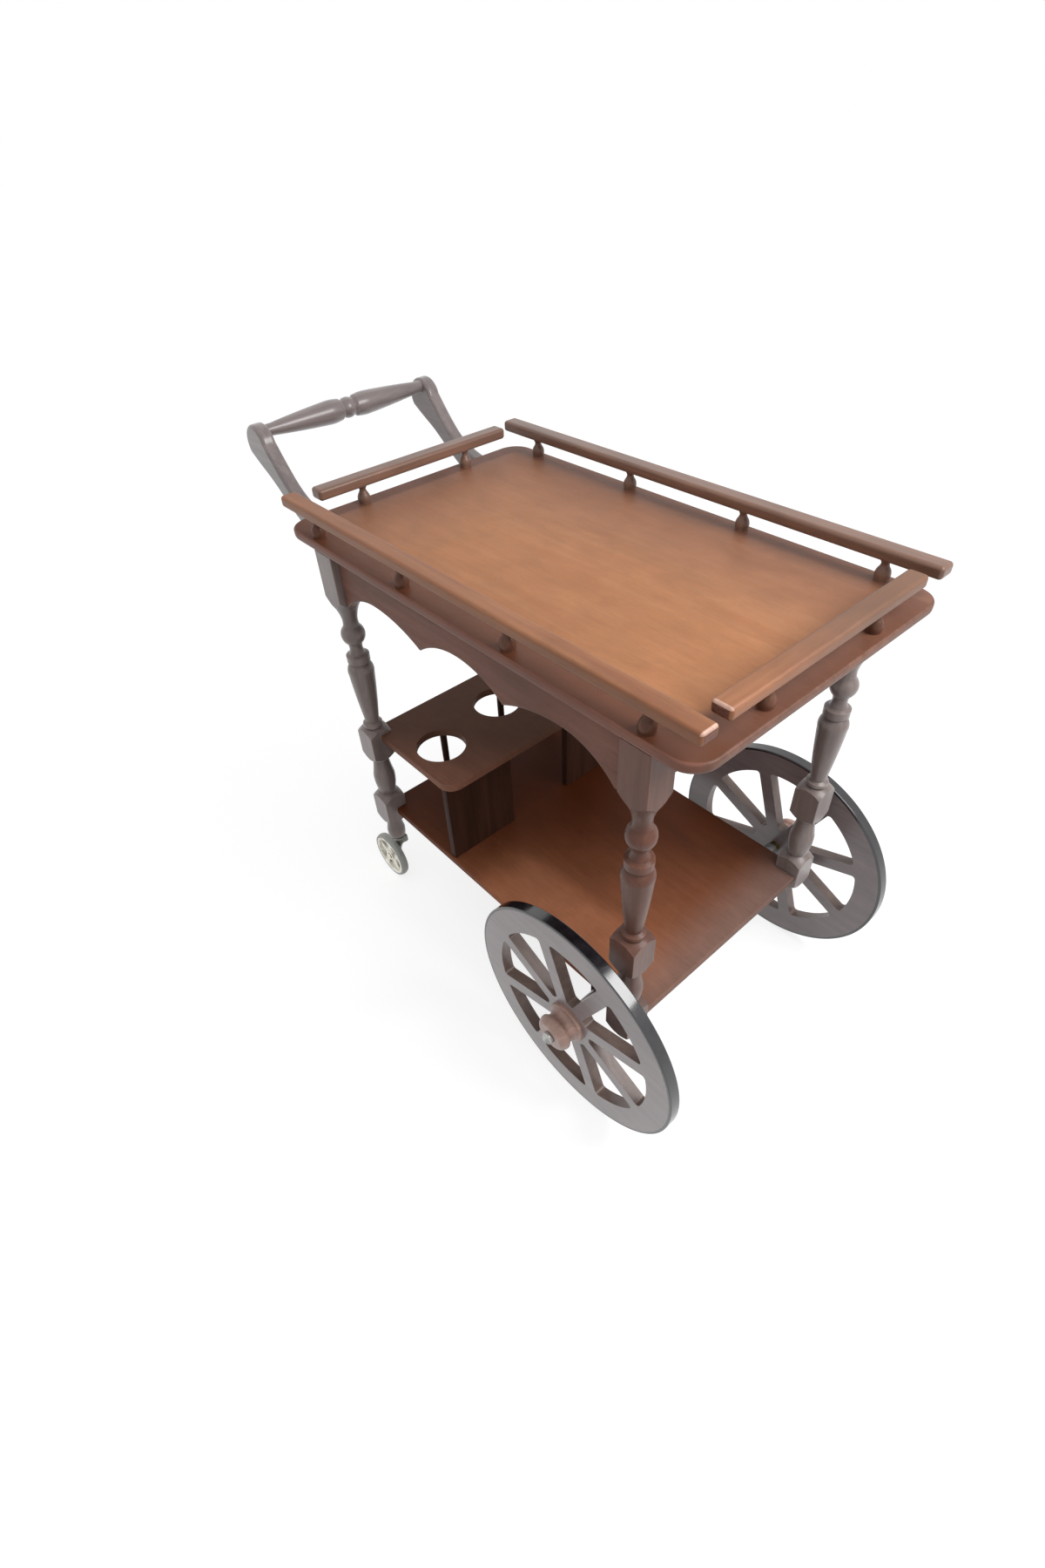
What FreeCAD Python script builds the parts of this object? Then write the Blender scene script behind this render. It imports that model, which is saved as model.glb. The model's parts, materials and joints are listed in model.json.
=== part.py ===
import FreeCAD, Part
import math
import os

from FreeCAD import Vector

os.makedirs("parts", exist_ok=True)

# Driving sizes in millimetres. X runs from the handle to the big wheels, Y to the left, Z up
board_length = 740.0
board_width = 434.0
board_thickness = 15.0
board_corner_radius = 33.0
board_top_height = 712.0
board_top_ease = 4.0
board_under_ease = 2.0

# Gallery
rail_width = 25.0
rail_height = 16.0
rail_ease = 3.0
rail_top_over_board = 42.0
rail_side_inset = 2.0
rail_end_inset = 6.0
rail_corner_gap = 21.0
spindle_end_inset_long = 69.5
spindle_end_inset_short = 74.5
spindle_foot_radius = 8.8
spindle_bell_radius = 9.5
spindle_neck_radius = 4.8
spindle_head_radius = 6.5
spindle_tenon_radius = 3.0
spindle_tenon_length = 6.0

# Legs
leg_square = 40.5
leg_side_inset = 3.25
leg_front_inset = 75.5
leg_rear_inset = 90.0
leg_top_block = 68.0
leg_shelf_block = 40.0
leg_shelf_block_below = 29.0
leg_low_block = 48.0
leg_low_block_below = 18.0
leg_block_ease = 8.0
leg_foot_height = 137.0

# Aprons and end rails
apron_thickness = 16.0
apron_set_back = 10.75
apron_end_depth = 82.0
apron_cusp_depth = 70.0
apron_centre_depth = 42.0
apron_side_depth = 46.0
apron_cusp_share = 0.2992
apron_side_peak_share = 0.6558
apron_toe = 13.25
end_rail_thickness = 20.0
end_rail_depth = 60.0

# Shelves
shelf_thickness = 13.0
shelf_ease = 2.0
shelf_side_inset = 23.0
lower_shelf_top = 215.0
shelf_rear_inset = 85.0
shelf_front_inset = 59.0
bottle_shelf_top = 380.0
bottle_shelf_depth = 207.0
bottle_shelf_corner_radius = 24.0
bottle_hole_radius = 40.0
bottle_hole_side_margin = 16.0
bottle_hole_outer_setback = 114.0
bottle_hole_middle_setback = 88.0
support_thickness = 13.0
support_set_back = 13.0
support_side_inset = 3.0
support_width = 129.0
dowel_radius = 5.5
dowel_side_inset = 127.0
dowel_set_in = 10.0
dowel_tenon_length = 6.0

# Handle
arm_thickness = 22.0
arm_leg_gap = 9.25
arm_foot_depth = 35.0
arm_end_radius = 29.0
arm_end_back = 3.0
arm_end_drop = 17.0
bar_reach = 155.0
bar_rise = 76.0
bar_end_radius = 9.0
bar_swell_radius = 17.5
bar_bead_radius = 15.5
bar_groove_radius = 12.0
bar_tenon_radius = 7.0
bar_tenon_length = 14.0

# Big wheels
wheel_radius = 186.0
tyre_thickness = 4.0
wheel_thickness = 17.0
wheel_side_gap = 15.5
wheel_rim_width = 38.0
wheel_front_inset = 132.5
spoke_count = 8
spoke_width = 21.0
spoke_phase = 19.0
wheel_core_radius = 40.0
wheel_window_corner = 5.0
hub_base_radius = 31.0
hub_waist_radius = 23.0
hub_length = 36.0
bush_radius = 9.0
bush_inner_reach = 8.0
axle_radius = 6.0
bearer_length = 42.0
bearer_width = 34.0
bearer_depth = 32.0
spacer_radius = 11.0
cap_radius = 9.0
cap_length = 9.0

# Casters
caster_radius = 46.0
caster_tyre_thickness = 5.0
caster_thickness = 14.0
caster_trail = 42.0
caster_spoke_count = 5
caster_spoke_width = 10.0
caster_rim_width = 7.0
caster_hub_radius = 11.0
caster_pin_radius = 4.0
caster_pin_head_radius = 7.0
caster_pin_head_length = 3.0
stem_radius = 5.0
stem_length = 34.0
socket_wall = 2.0
socket_flange_radius = 13.0
socket_flange_thickness = 3.0
crown_radius = 14.0
crown_thickness = 6.0
fork_plate_thickness = 5.0
fork_plate_width = 22.0

# Clearances
joint_gap = 0.05
running_gap = 0.08
side_play = 0.4

# Places that follow from the sizes above
half_board = board_length / 2.0
half_width = board_width / 2.0
board_under = board_top_height - board_thickness
axle_offset = half_board - wheel_front_inset
reach_rear = half_board + bar_reach + arm_end_back + arm_end_radius
reach_front = axle_offset + wheel_radius
board_x = (reach_rear - reach_front) / 2.0
board_rear = board_x - half_board
board_front = board_x + half_board
leg_half = leg_square / 2.0
leg_y = half_width - leg_side_inset - leg_half
leg_front_x = board_front - leg_front_inset
leg_rear_x = board_rear + leg_rear_inset
axle_x = board_x + axle_offset
sides = {"right": -1.0, "left": 1.0}


def wire_of(points):
    """Closed straight-sided wire through the points."""
    return Part.makePolygon(list(points) + [points[0]])


def prism(points, direction):
    """Solid swept from a flat outline along a direction."""
    return Part.Face(wire_of(points)).extrude(direction)


def box(x0, x1, y0, y1, z0, z1):
    """Block between two corners given in any order."""
    low = Vector(min(x0, x1), min(y0, y1), min(z0, z1))
    return Part.makeBox(abs(x1 - x0), abs(y1 - y0), abs(z1 - z0), low)


def rod(centre, direction, radius, length):
    """Round bar starting at a point."""
    return Part.makeCylinder(radius, length, centre, direction)


def arc_edge(a, b, c):
    """Arc through three points."""
    return Part.Arc(a, b, c).toShape()


def straight(points):
    """Runs of straight lines through a list of points."""
    return [[a, b] for a, b in zip(points, points[1:])]


def turned(runs, centre, axis):
    """Solid turned from runs of (radius, station) points: two make a line, three a cove or bead."""

    def at(point):
        return centre + Vector(point[0], 0, 0) + axis * point[1]

    first = centre + axis * runs[0][0][1]
    last = centre + axis * runs[-1][-1][1]
    edges = [Part.makeLine(first, at(runs[0][0]))]
    for run in runs:
        points = [at(point) for point in run]
        if len(points) == 2:
            edges.append(Part.makeLine(points[0], points[1]))
        else:
            edges.append(arc_edge(points[0], points[1], points[2]))
    edges.append(Part.makeLine(at(runs[-1][-1]), last))
    edges.append(Part.makeLine(last, first))
    return Part.Face(Part.Wire(edges)).revolve(centre, axis, 360.0)


def rounded_plate(x0, x1, y0, y1, z0, z1, radius, edges):
    """Plate with chosen upright corners rounded; edges is a test on a corner's x and y."""
    plate = box(x0, x1, y0, y1, z0, z1)
    upright = []
    for edge in plate.Edges:
        a = edge.Vertexes[0].Point
        b = edge.Vertexes[-1].Point
        if abs(a.z - b.z) > 1e-6 and edges(a.x, a.y):
            upright.append(edge)
    return plate.makeFillet(radius, upright)


def edges_at_height(shape, height):
    """Edges lying wholly at one height."""
    return [e for e in shape.Edges if all(abs(v.Point.z - height) < 1e-6 for v in e.Vertexes)]


def save(name, shape):
    """Write one node, a valid solid."""
    assert shape.isValid(), name
    assert len(shape.Solids) == 1, name
    shape.Solids[0].exportStep("parts/" + name + ".step")


# Gallery places: long rails along X, short rails along Y
rail_under = board_top_height + rail_top_over_board - rail_height
rail_top = board_top_height + rail_top_over_board
long_rail_y = half_width - rail_side_inset - rail_width / 2.0
short_rail_x = half_board - rail_end_inset - rail_width / 2.0
long_length = board_length - 2.0 * rail_side_inset
short_length = 2.0 * (long_rail_y - rail_width / 2.0 - rail_corner_gap)
long_step = (long_length - 2.0 * spindle_end_inset_long) / 3.0
short_step = short_length - 2.0 * spindle_end_inset_short
long_stations = [long_step * (i - 1.5) for i in range(4)]
short_stations = [short_step * (i - 0.5) for i in range(2)]
spindle_spots = {"right": [], "left": [], "front": [], "rear": []}
for side, sign in sides.items():
    spindle_spots[side] = [Vector(board_x + s, sign * long_rail_y, board_top_height) for s in long_stations]
for end, sign in (("front", 1.0), ("rear", -1.0)):
    spindle_spots[end] = [Vector(board_x + sign * short_rail_x, s, board_top_height) for s in short_stations]
all_spots = [spot for group in spindle_spots.values() for spot in group]


def make_board():
    """Tray top with rounded corners, eased edges and a blind hole under each spindle."""
    board = rounded_plate(board_rear, board_front, -half_width, half_width, board_under, board_top_height,
                          board_corner_radius, lambda x, y: True)
    board = board.makeFillet(board_top_ease, edges_at_height(board, board_top_height))
    board = board.makeFillet(board_under_ease, edges_at_height(board, board_under))
    for spot in all_spots:
        hole = rod(spot, Vector(0, 0, -1), spindle_tenon_radius + joint_gap, spindle_tenon_length + 1.0)
        board = board.cut(hole)
    return board


def make_rail(length, along_x, centre, spots):
    """Square-ended rail with eased long edges and a blind hole over each spindle."""
    if along_x:
        size = Vector(length / 2.0, rail_width / 2.0, 0)
    else:
        size = Vector(rail_width / 2.0, length / 2.0, 0)
    low = centre - size
    high = centre + size
    rail = box(low.x, high.x, low.y, high.y, rail_under, rail_top)
    lengthwise = [e for e in rail.Edges if abs(e.Length - length) < 1e-6]
    rail = rail.makeFillet(rail_ease, lengthwise)
    for spot in spots:
        mouth = Vector(spot.x, spot.y, rail_under)
        hole = rod(mouth, Vector(0, 0, 1), spindle_tenon_radius + joint_gap, spindle_tenon_length + 1.0)
        rail = rail.cut(hole)
    return rail


def make_spindle(spot):
    """Bell-shaped post with a tenon at each end."""
    height = rail_under - board_top_height
    foot = [
        (spindle_tenon_radius, -spindle_tenon_length),
        (spindle_tenon_radius, 0.0),
        (spindle_foot_radius, 0.0),
        (spindle_foot_radius, 0.06 * height),
    ]
    waist = (0.5 * (spindle_bell_radius + spindle_neck_radius), 0.55 * height)
    bell = [foot[-1], (spindle_bell_radius, 0.22 * height), waist]
    hollow = [waist, (1.08 * spindle_neck_radius, 0.69 * height), (spindle_neck_radius, 0.80 * height)]
    head = [
        hollow[-1],
        (spindle_head_radius, 0.92 * height),
        (spindle_head_radius, height),
        (spindle_tenon_radius, height),
        (spindle_tenon_radius, height + spindle_tenon_length),
    ]
    return turned(straight(foot) + [bell, hollow] + straight(head), spot, Vector(0, 0, 1))


# Leg heights, and the shelves that the blocks carry
bottle_shelf_under = bottle_shelf_top - shelf_thickness
lower_shelf_under = lower_shelf_top - shelf_thickness
top_block_low = board_under - leg_top_block
shelf_block_low = bottle_shelf_under - leg_shelf_block_below
shelf_block_high = shelf_block_low + leg_shelf_block
low_block_low = lower_shelf_under - leg_low_block_below
low_block_high = low_block_low + leg_low_block
socket_outer = stem_radius + running_gap + socket_wall
socket_depth = stem_length + 2.0

# Turnings between the blocks, in shares of the blank's half width and of the run's length from its upper end.
# The first and last radius pass the blank's corners, so the turning cuts curved shoulders into the blocks
past_corner = math.sqrt(2.0) + 0.05
upper_turning = [
    [(past_corner, 0.0), (0.93, 0.062), (0.60, 0.138)],
    [(0.60, 0.138), (0.56, 0.172), (0.62, 0.206)],
    [(0.62, 0.206), (0.90, 0.257), (0.58, 0.317)],
    [(0.58, 0.317), (0.49, 0.353), (0.62, 0.392)],
    [(0.62, 0.392), (0.87, 0.401)],
    [(0.87, 0.401), (0.87, 0.444)],
    [(0.87, 0.444), (0.72, 0.456)],
    [(0.72, 0.456), (0.91, 0.478), (0.99, 0.532)],
    [(0.99, 0.532), (0.83, 0.698), (0.54, 0.905)],
    [(0.54, 0.905), (0.77, 0.917)],
    [(0.77, 0.917), (0.77, 0.937)],
    [(0.77, 0.937), (0.62, 0.948)],
    [(0.62, 0.948), (1.03, 0.964), (past_corner, 1.0)],
]
middle_turning = [
    [(past_corner, 0.0), (1.03, 0.085), (0.64, 0.160)],
    [(0.64, 0.160), (0.73, 0.300), (0.90, 0.480)],
    [(0.90, 0.480), (0.87, 0.660), (0.64, 0.868)],
    [(0.64, 0.868), (1.03, 0.915), (past_corner, 1.0)],
]
foot_turning = [
    [(1.03, 0.0), (0.67, 0.128)],
    [(0.67, 0.128), (0.68, 0.340), (0.79, 0.640)],
    [(0.79, 0.640), (0.79, 0.850), (0.74, 1.0)],
]


def stretch(runs, high, low):
    """Turning laid between two heights of a leg."""
    return [[(share * leg_half, high + (low - high) * down) for share, down in run] for run in runs]


def make_leg(x, sign, has_foot):
    """Square blank turned between its blocks; rear legs carry a turned foot bored for the caster socket."""
    centre = Vector(x, sign * leg_y, 0)
    reach = past_corner * leg_half
    outline = [[(reach, board_under), (reach, top_block_low)]]
    outline += stretch(upper_turning, top_block_low, shelf_block_high)
    outline += [[(reach, shelf_block_high), (reach, shelf_block_low)]]
    outline += stretch(middle_turning, shelf_block_low, low_block_high)
    outline += [[(reach, low_block_high), (reach, low_block_low + leg_block_ease)]]
    outline += [[(reach, low_block_low + leg_block_ease), (1.03 * leg_half, low_block_low)]]
    if has_foot:
        outline += stretch(foot_turning, low_block_low, leg_foot_height)
    bottom = outline[-1][-1][1]
    blank = box(x - leg_half, x + leg_half, centre.y - leg_half, centre.y + leg_half, bottom, board_under)
    leg = blank.common(turned(outline, centre, Vector(0, 0, 1)))
    if has_foot:
        mouth = Vector(x, centre.y, bottom)
        leg = leg.cut(rod(mouth, Vector(0, 0, 1), socket_outer + joint_gap, socket_depth + 1.0))
    return leg


def make_apron(sign):
    """Side board with a scalloped lower edge: a centre arch between two cusps and an arch to each leg.

    The scallop is centred under the board, so the nearer leg cuts its end short.
    """
    x0 = leg_rear_x + leg_half
    x1 = leg_front_x - leg_half
    half = max(x1 - board_x, board_x - x0)
    outer = sign * (leg_y + leg_half - apron_set_back)
    inner = outer - sign * apron_thickness

    def at(offset, depth):
        return Vector(board_x + offset, outer, board_under - depth)

    def on_arch(foot, peak, offset):
        span = foot[0] - peak[0]
        drop = foot[1] - peak[1]
        radius = (span * span + drop * drop) / (2.0 * drop)
        run = offset - peak[0]
        return at(offset, peak[1] + radius - math.sqrt(radius * radius - run * run))

    cusp = (apron_cusp_share * half, apron_cusp_depth)
    centre_peak = (0.0, apron_centre_depth)
    side_peak = (apron_side_peak_share * half, apron_side_depth)
    foot = (half - apron_toe, apron_end_depth)
    edges = [Part.makeLine(at(-half, 0.0), at(half, 0.0))]
    edges.append(Part.makeLine(at(half, 0.0), at(half, apron_end_depth)))
    edges.append(Part.makeLine(at(half, apron_end_depth), at(*foot)))
    mid_outer = (foot[0] + side_peak[0]) / 2.0
    mid_inner = (cusp[0] + side_peak[0]) / 2.0
    edges.append(arc_edge(at(*foot), on_arch(foot, side_peak, mid_outer), at(*side_peak)))
    edges.append(arc_edge(at(*side_peak), on_arch(cusp, side_peak, mid_inner), at(*cusp)))
    edges.append(arc_edge(at(*cusp), at(*centre_peak), at(-cusp[0], cusp[1])))
    mirror_foot = (-foot[0], foot[1])
    mirror_cusp = (-cusp[0], cusp[1])
    mirror_peak = (-side_peak[0], side_peak[1])
    edges.append(arc_edge(at(*mirror_cusp), on_arch(mirror_cusp, mirror_peak, -mid_inner), at(*mirror_peak)))
    edges.append(arc_edge(at(*mirror_peak), on_arch(mirror_foot, mirror_peak, -mid_outer), at(*mirror_foot)))
    edges.append(Part.makeLine(at(*mirror_foot), at(-half, apron_end_depth)))
    edges.append(Part.makeLine(at(-half, apron_end_depth), at(-half, 0.0)))
    long_board = Part.Face(Part.Wire(edges)).extrude(Vector(0, -sign * apron_thickness, 0))
    depth = max(apron_end_depth, apron_cusp_depth) + 1.0
    return long_board.common(box(x0, x1, inner, outer, board_under - depth, board_under))


def make_end_rail(x):
    """Plain rail between two legs, under the board."""
    half = end_rail_thickness / 2.0
    reach = leg_y - leg_half
    return box(x - half, x + half, -reach, reach, board_under - end_rail_depth, board_under)


def notch(shape, x, z0, z1, clear_front):
    """Cut the corners of a shelf away round a pair of legs."""
    for sign in sides.values():
        inner = sign * (leg_y - leg_half)
        outer = sign * (half_width + 1.0)
        if clear_front:
            shape = shape.cut(box(x - leg_half, board_front, inner, outer, z0, z1))
        else:
            shape = shape.cut(box(board_rear, x + leg_half, inner, outer, z0, z1))
    return shape


shelf_half = half_width - shelf_side_inset
shelf_rear = board_rear + shelf_rear_inset
dowel_x = shelf_rear + dowel_set_in
dowel_y = shelf_half - dowel_side_inset
dowel_spots = {side: Vector(dowel_x, sign * dowel_y, lower_shelf_top) for side, sign in sides.items()}
bottle_shelf_front = shelf_rear + bottle_shelf_depth
bottle_hole_pitch = shelf_half - bottle_hole_side_margin - bottle_hole_radius


def make_lower_shelf():
    """Full-length shelf, notched round all four legs, with holes for the rear dowels."""
    low = lower_shelf_under
    shelf = box(shelf_rear, board_front - shelf_front_inset, -shelf_half, shelf_half, low, lower_shelf_top)
    shelf = shelf.makeFillet(shelf_ease, edges_at_height(shelf, lower_shelf_top))
    shelf = notch(shelf, leg_front_x, low - 1.0, lower_shelf_top + 1.0, True)
    shelf = notch(shelf, leg_rear_x, low - 1.0, lower_shelf_top + 1.0, False)
    for spot in dowel_spots.values():
        shelf = shelf.cut(rod(spot, Vector(0, 0, -1), dowel_radius + joint_gap, dowel_tenon_length + 1.0))
    return shelf


def make_bottle_shelf():
    """Short shelf with three bottle holes and rounded front corners, notched round the rear legs."""
    low = bottle_shelf_under
    shelf = rounded_plate(shelf_rear, bottle_shelf_front, -shelf_half, shelf_half, low, bottle_shelf_top,
                          bottle_shelf_corner_radius, lambda x, y: x > shelf_rear + 1.0)
    shelf = shelf.makeFillet(shelf_ease, edges_at_height(shelf, bottle_shelf_top))
    shelf = notch(shelf, leg_rear_x, low - 1.0, bottle_shelf_top + 1.0, False)
    for row in (-1.0, 0.0, 1.0):
        setback = bottle_hole_middle_setback if row == 0.0 else bottle_hole_outer_setback
        hole = Vector(shelf_rear + setback, row * bottle_hole_pitch, low - 1.0)
        shelf = shelf.cut(rod(hole, Vector(0, 0, 1), bottle_hole_radius, shelf_thickness + 2.0))
    for spot in dowel_spots.values():
        mouth = Vector(spot.x, spot.y, low)
        shelf = shelf.cut(rod(mouth, Vector(0, 0, 1), dowel_radius + joint_gap, dowel_tenon_length + 1.0))
    return shelf


def make_support(sign):
    """Upright board carrying the front edge of the bottle shelf."""
    front = bottle_shelf_front - support_set_back
    outer = sign * (shelf_half - support_side_inset)
    inner = outer - sign * support_width
    return box(front - support_thickness, front, inner, outer, lower_shelf_top, bottle_shelf_under)


def make_dowel(spot):
    """Thin post between the shelves."""
    length = bottle_shelf_under - lower_shelf_top + 2.0 * dowel_tenon_length
    return rod(spot - Vector(0, 0, dowel_tenon_length), Vector(0, 0, 1), dowel_radius, length)


bar_centre = Vector(board_rear - bar_reach, 0, board_top_height + bar_rise)
arm_inner = leg_y - leg_half - arm_leg_gap - arm_thickness


def make_arm(sign):
    """Curved arm from under the board up to the grip, with a rounded head bored for the grip's tenon."""
    face = sign * arm_inner
    foot_x = leg_rear_x - end_rail_thickness / 2.0

    def at(reach, rise):
        return Vector(board_rear - reach * bar_reach, face, board_top_height + rise * bar_rise)

    socket = Vector(bar_centre.x, face, bar_centre.z)
    head = socket - Vector(arm_end_back, 0, arm_end_drop)

    def on_head(degrees):
        turn = math.radians(degrees)
        return head + Vector(math.cos(turn), 0, math.sin(turn)) * arm_end_radius

    top_start = on_head(15.0)
    low_start = on_head(215.0)
    root_top = Vector(board_rear, face, board_under)
    root_low = root_top - Vector(0, 0, arm_foot_depth)
    rise = [root_top, at(0.23, -0.09), at(0.42, 0.05), at(0.58, 0.29), at(0.71, 0.57), top_start]
    fall = [low_start, at(1.03, 0.38), at(0.84, 0.16), at(0.65, -0.12), at(0.46, -0.39), at(0.25, -0.59),
            root_low]
    upper = Part.BSplineCurve()
    upper.interpolate(rise)
    lower = Part.BSplineCurve()
    lower.interpolate(fall)
    foot_top = Vector(foot_x, face, board_under)
    foot_low = Vector(foot_x, face, board_under - arm_foot_depth)
    edges = [
        Part.makeLine(foot_top, root_top),
        upper.toShape(),
        arc_edge(top_start, on_head(100.0), low_start),
        lower.toShape(),
        Part.makeLine(root_low, foot_low),
        Part.makeLine(foot_low, foot_top),
    ]
    arm = Part.Face(Part.Wire(edges)).extrude(Vector(0, sign * arm_thickness, 0))
    return arm.cut(rod(socket, Vector(0, sign, 0), bar_tenon_radius + joint_gap, bar_tenon_length + 1.0))


def make_bar():
    """Turned grip: two swelling halves, a bead between grooves at the middle, a tenon at each end."""
    half = arm_inner
    stub = [
        (bar_tenon_radius, -half - bar_tenon_length),
        (bar_tenon_radius, -half),
        (bar_end_radius, -half),
        (bar_end_radius, -0.94 * half),
    ]
    mean_radius = 0.53 * (bar_end_radius + bar_swell_radius)
    swell = [stub[-1], (mean_radius, -0.58 * half), (bar_swell_radius, -0.24 * half)]
    shoulder = [swell[-1], (0.98 * bar_swell_radius, -0.17 * half), (0.9 * bar_swell_radius, -0.10 * half)]
    groove = [shoulder[-1], (bar_groove_radius, -0.07 * half), (bar_bead_radius, -0.03 * half)]
    right = straight(stub) + [swell, shoulder] + straight(groove)
    left = [[(radius, -station) for radius, station in reversed(run)] for run in reversed(right)]
    middle = [[right[-1][-1], left[0][0]]]
    return turned(right + middle + left, bar_centre, Vector(0, 1, 0))


# Wheel places outwards from the middle of the trolley
wheel_inner_y = half_width + wheel_side_gap
wheel_outer_y = wheel_inner_y + wheel_thickness
hub_outer_y = wheel_outer_y + hub_length
bush_inner_y = wheel_inner_y - bush_inner_reach
bearer_outer_y = shelf_half - 4.0
cap_inner_y = hub_outer_y + side_play


def along(sign, y, x=axle_x, z=wheel_radius):
    """Point on a wheel's axis line at a distance out from the middle."""
    return Vector(x, sign * y, z)


def make_wheel_disc(sign):
    """Flat wheel fretted from one board: rim, straight spokes and a round core, bored for the bush."""
    outer = wheel_radius - tyre_thickness
    rim_inner = outer - wheel_rim_width
    out = Vector(0, sign, 0)
    disc = rod(along(sign, wheel_inner_y), out, outer, wheel_thickness)
    step = 2.0 * math.pi / spoke_count
    half_spoke = spoke_width / 2.0
    for i in range(spoke_count):
        turn = (i + 0.5) * step + math.radians(spoke_phase)
        sector = rod(along(sign, wheel_inner_y - 1.0), out, rim_inner, wheel_thickness + 2.0)
        core = rod(along(sign, wheel_inner_y - 2.0), out, wheel_core_radius, wheel_thickness + 4.0)
        sector = sector.cut(core)
        for edge_turn, flip in ((turn - step / 2.0, 1.0), (turn + step / 2.0, -1.0)):
            ahead = Vector(math.cos(edge_turn), 0, math.sin(edge_turn))
            aside = Vector(-math.sin(edge_turn), 0, math.cos(edge_turn)) * flip
            base = along(sign, wheel_inner_y - 3.0) + aside * half_spoke
            keep = prism([base - ahead * 9.0 * outer, base + ahead * 9.0 * outer,
                          base + ahead * 9.0 * outer + aside * 9.0 * outer,
                          base - ahead * 9.0 * outer + aside * 9.0 * outer], out * (wheel_thickness + 6.0))
            sector = sector.common(keep)
        corners = [e for e in sector.Edges if abs(abs(e.tangentAt(e.FirstParameter).y) - 1.0) < 1e-6]
        disc = disc.cut(sector.makeFillet(wheel_window_corner, corners))
    bore = rod(along(sign, wheel_inner_y - 1.0), out, bush_radius + joint_gap, wheel_thickness + 2.0)
    return disc.cut(bore)


def ring(centre, direction, outer, inner, length):
    """Tube starting at a point."""
    tube = rod(centre, direction, outer, length)
    return tube.cut(rod(centre - direction, direction, inner, length + 2.0))


def make_hub(sign):
    """Turned hub on the wheel's outer face, bored for the bush."""
    lip = hub_waist_radius + 4.0
    flange = [(hub_base_radius, 0.0), (hub_base_radius, 0.18 * hub_length)]
    cove = [flange[-1], (hub_waist_radius, 0.40 * hub_length), (lip, 0.62 * hub_length)]
    nose = [cove[-1], (lip, 0.80 * hub_length), (hub_waist_radius - 4.0, hub_length)]
    hub = turned([flange, cove, nose[:2], nose[1:]], along(sign, wheel_outer_y), Vector(0, sign, 0))
    mouth = along(sign, wheel_outer_y - 1.0)
    bore = rod(mouth, Vector(0, sign, 0), bush_radius + joint_gap, hub_length + 2.0)
    return hub.cut(bore)


def make_cap(sign):
    """Domed nut on the end of the axle."""
    bottom = along(sign, cap_inner_y)
    profile = [(cap_radius, 0.0), (cap_radius, 0.45 * cap_length), (0.75 * cap_radius, 0.85 * cap_length),
               (0.35 * cap_radius, cap_length)]
    cap = turned(straight(profile), bottom, Vector(0, sign, 0))
    mouth = along(sign, cap_inner_y - 1.0)
    bore = rod(mouth, Vector(0, sign, 0), axle_radius + joint_gap, 0.5 * cap_length + 1.0)
    return cap.cut(bore)


def make_axle():
    """Round bar through both bearers, into both caps."""
    half = cap_inner_y + 0.45 * cap_length
    return rod(along(-1.0, half), Vector(0, 1, 0), axle_radius, 2.0 * half)


def make_bearer(sign):
    """Block under the lower shelf that holds the axle."""
    low = lower_shelf_under - bearer_depth
    half = bearer_width / 2.0
    inner = sign * (bearer_outer_y - bearer_length)
    block = box(axle_x - half, axle_x + half, inner, sign * bearer_outer_y, low, lower_shelf_under)
    return block.cut(rod(along(-1.0, half_width), Vector(0, 1, 0), axle_radius + joint_gap, board_width))


# Caster places
caster_axis_z = caster_radius
fork_gap = 1.5
crown_top = leg_foot_height - socket_flange_thickness - side_play
plate_outer = leg_y - caster_thickness / 2.0 - fork_gap
plate_inner = plate_outer - fork_plate_thickness


def make_socket(sign):
    """Flanged sleeve in a rear foot."""
    foot = Vector(leg_rear_x, sign * leg_y, leg_foot_height)
    up = Vector(0, 0, 1)
    profile = [(socket_flange_radius, -socket_flange_thickness), (socket_flange_radius, 0.0),
               (socket_outer, 0.0), (socket_outer, socket_depth)]
    bore = rod(foot - up * (socket_flange_thickness + 1.0), up, stem_radius + running_gap,
               socket_flange_thickness + stem_length + 1.5)
    return turned(straight(profile), foot, up).cut(bore)


def make_fork(sign):
    """One-sided fork: stem, round crown and a plate down the inboard side of the wheel, bored for the pin."""
    axis = Vector(leg_rear_x, sign * leg_y, crown_top)
    pin = Vector(leg_rear_x - caster_trail, sign * plate_inner, caster_axis_z)
    crown = rod(axis - Vector(0, 0, crown_thickness), Vector(0, 0, 1), crown_radius, crown_thickness)
    stem = rod(axis, Vector(0, 0, 1), stem_radius, socket_flange_thickness + side_play + stem_length)
    half = fork_plate_width / 2.0
    face = sign * plate_inner
    low = Vector(pin.x, face, pin.z)
    top = Vector(leg_rear_x, face, crown_top)
    slope = (Vector(top.x, face, top.z - crown_thickness - half) - low)
    aside = Vector(-slope.z, 0, slope.x).normalize() * half
    outline = [low + aside, low - aside, Vector(top.x + half, face, top.z - crown_thickness - half),
               Vector(top.x + half, face, top.z), Vector(top.x - half, face, top.z)]
    plate = prism(outline, Vector(0, sign * fork_plate_thickness, 0))
    plate = plate.fuse(rod(low, Vector(0, sign, 0), half, fork_plate_thickness))
    fork = crown.fuse(stem).fuse(plate).removeSplitter()
    return fork.cut(rod(low - Vector(0, sign, 0), Vector(0, sign, 0), caster_pin_radius + joint_gap,
                        fork_plate_thickness + 2.0))


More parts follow.
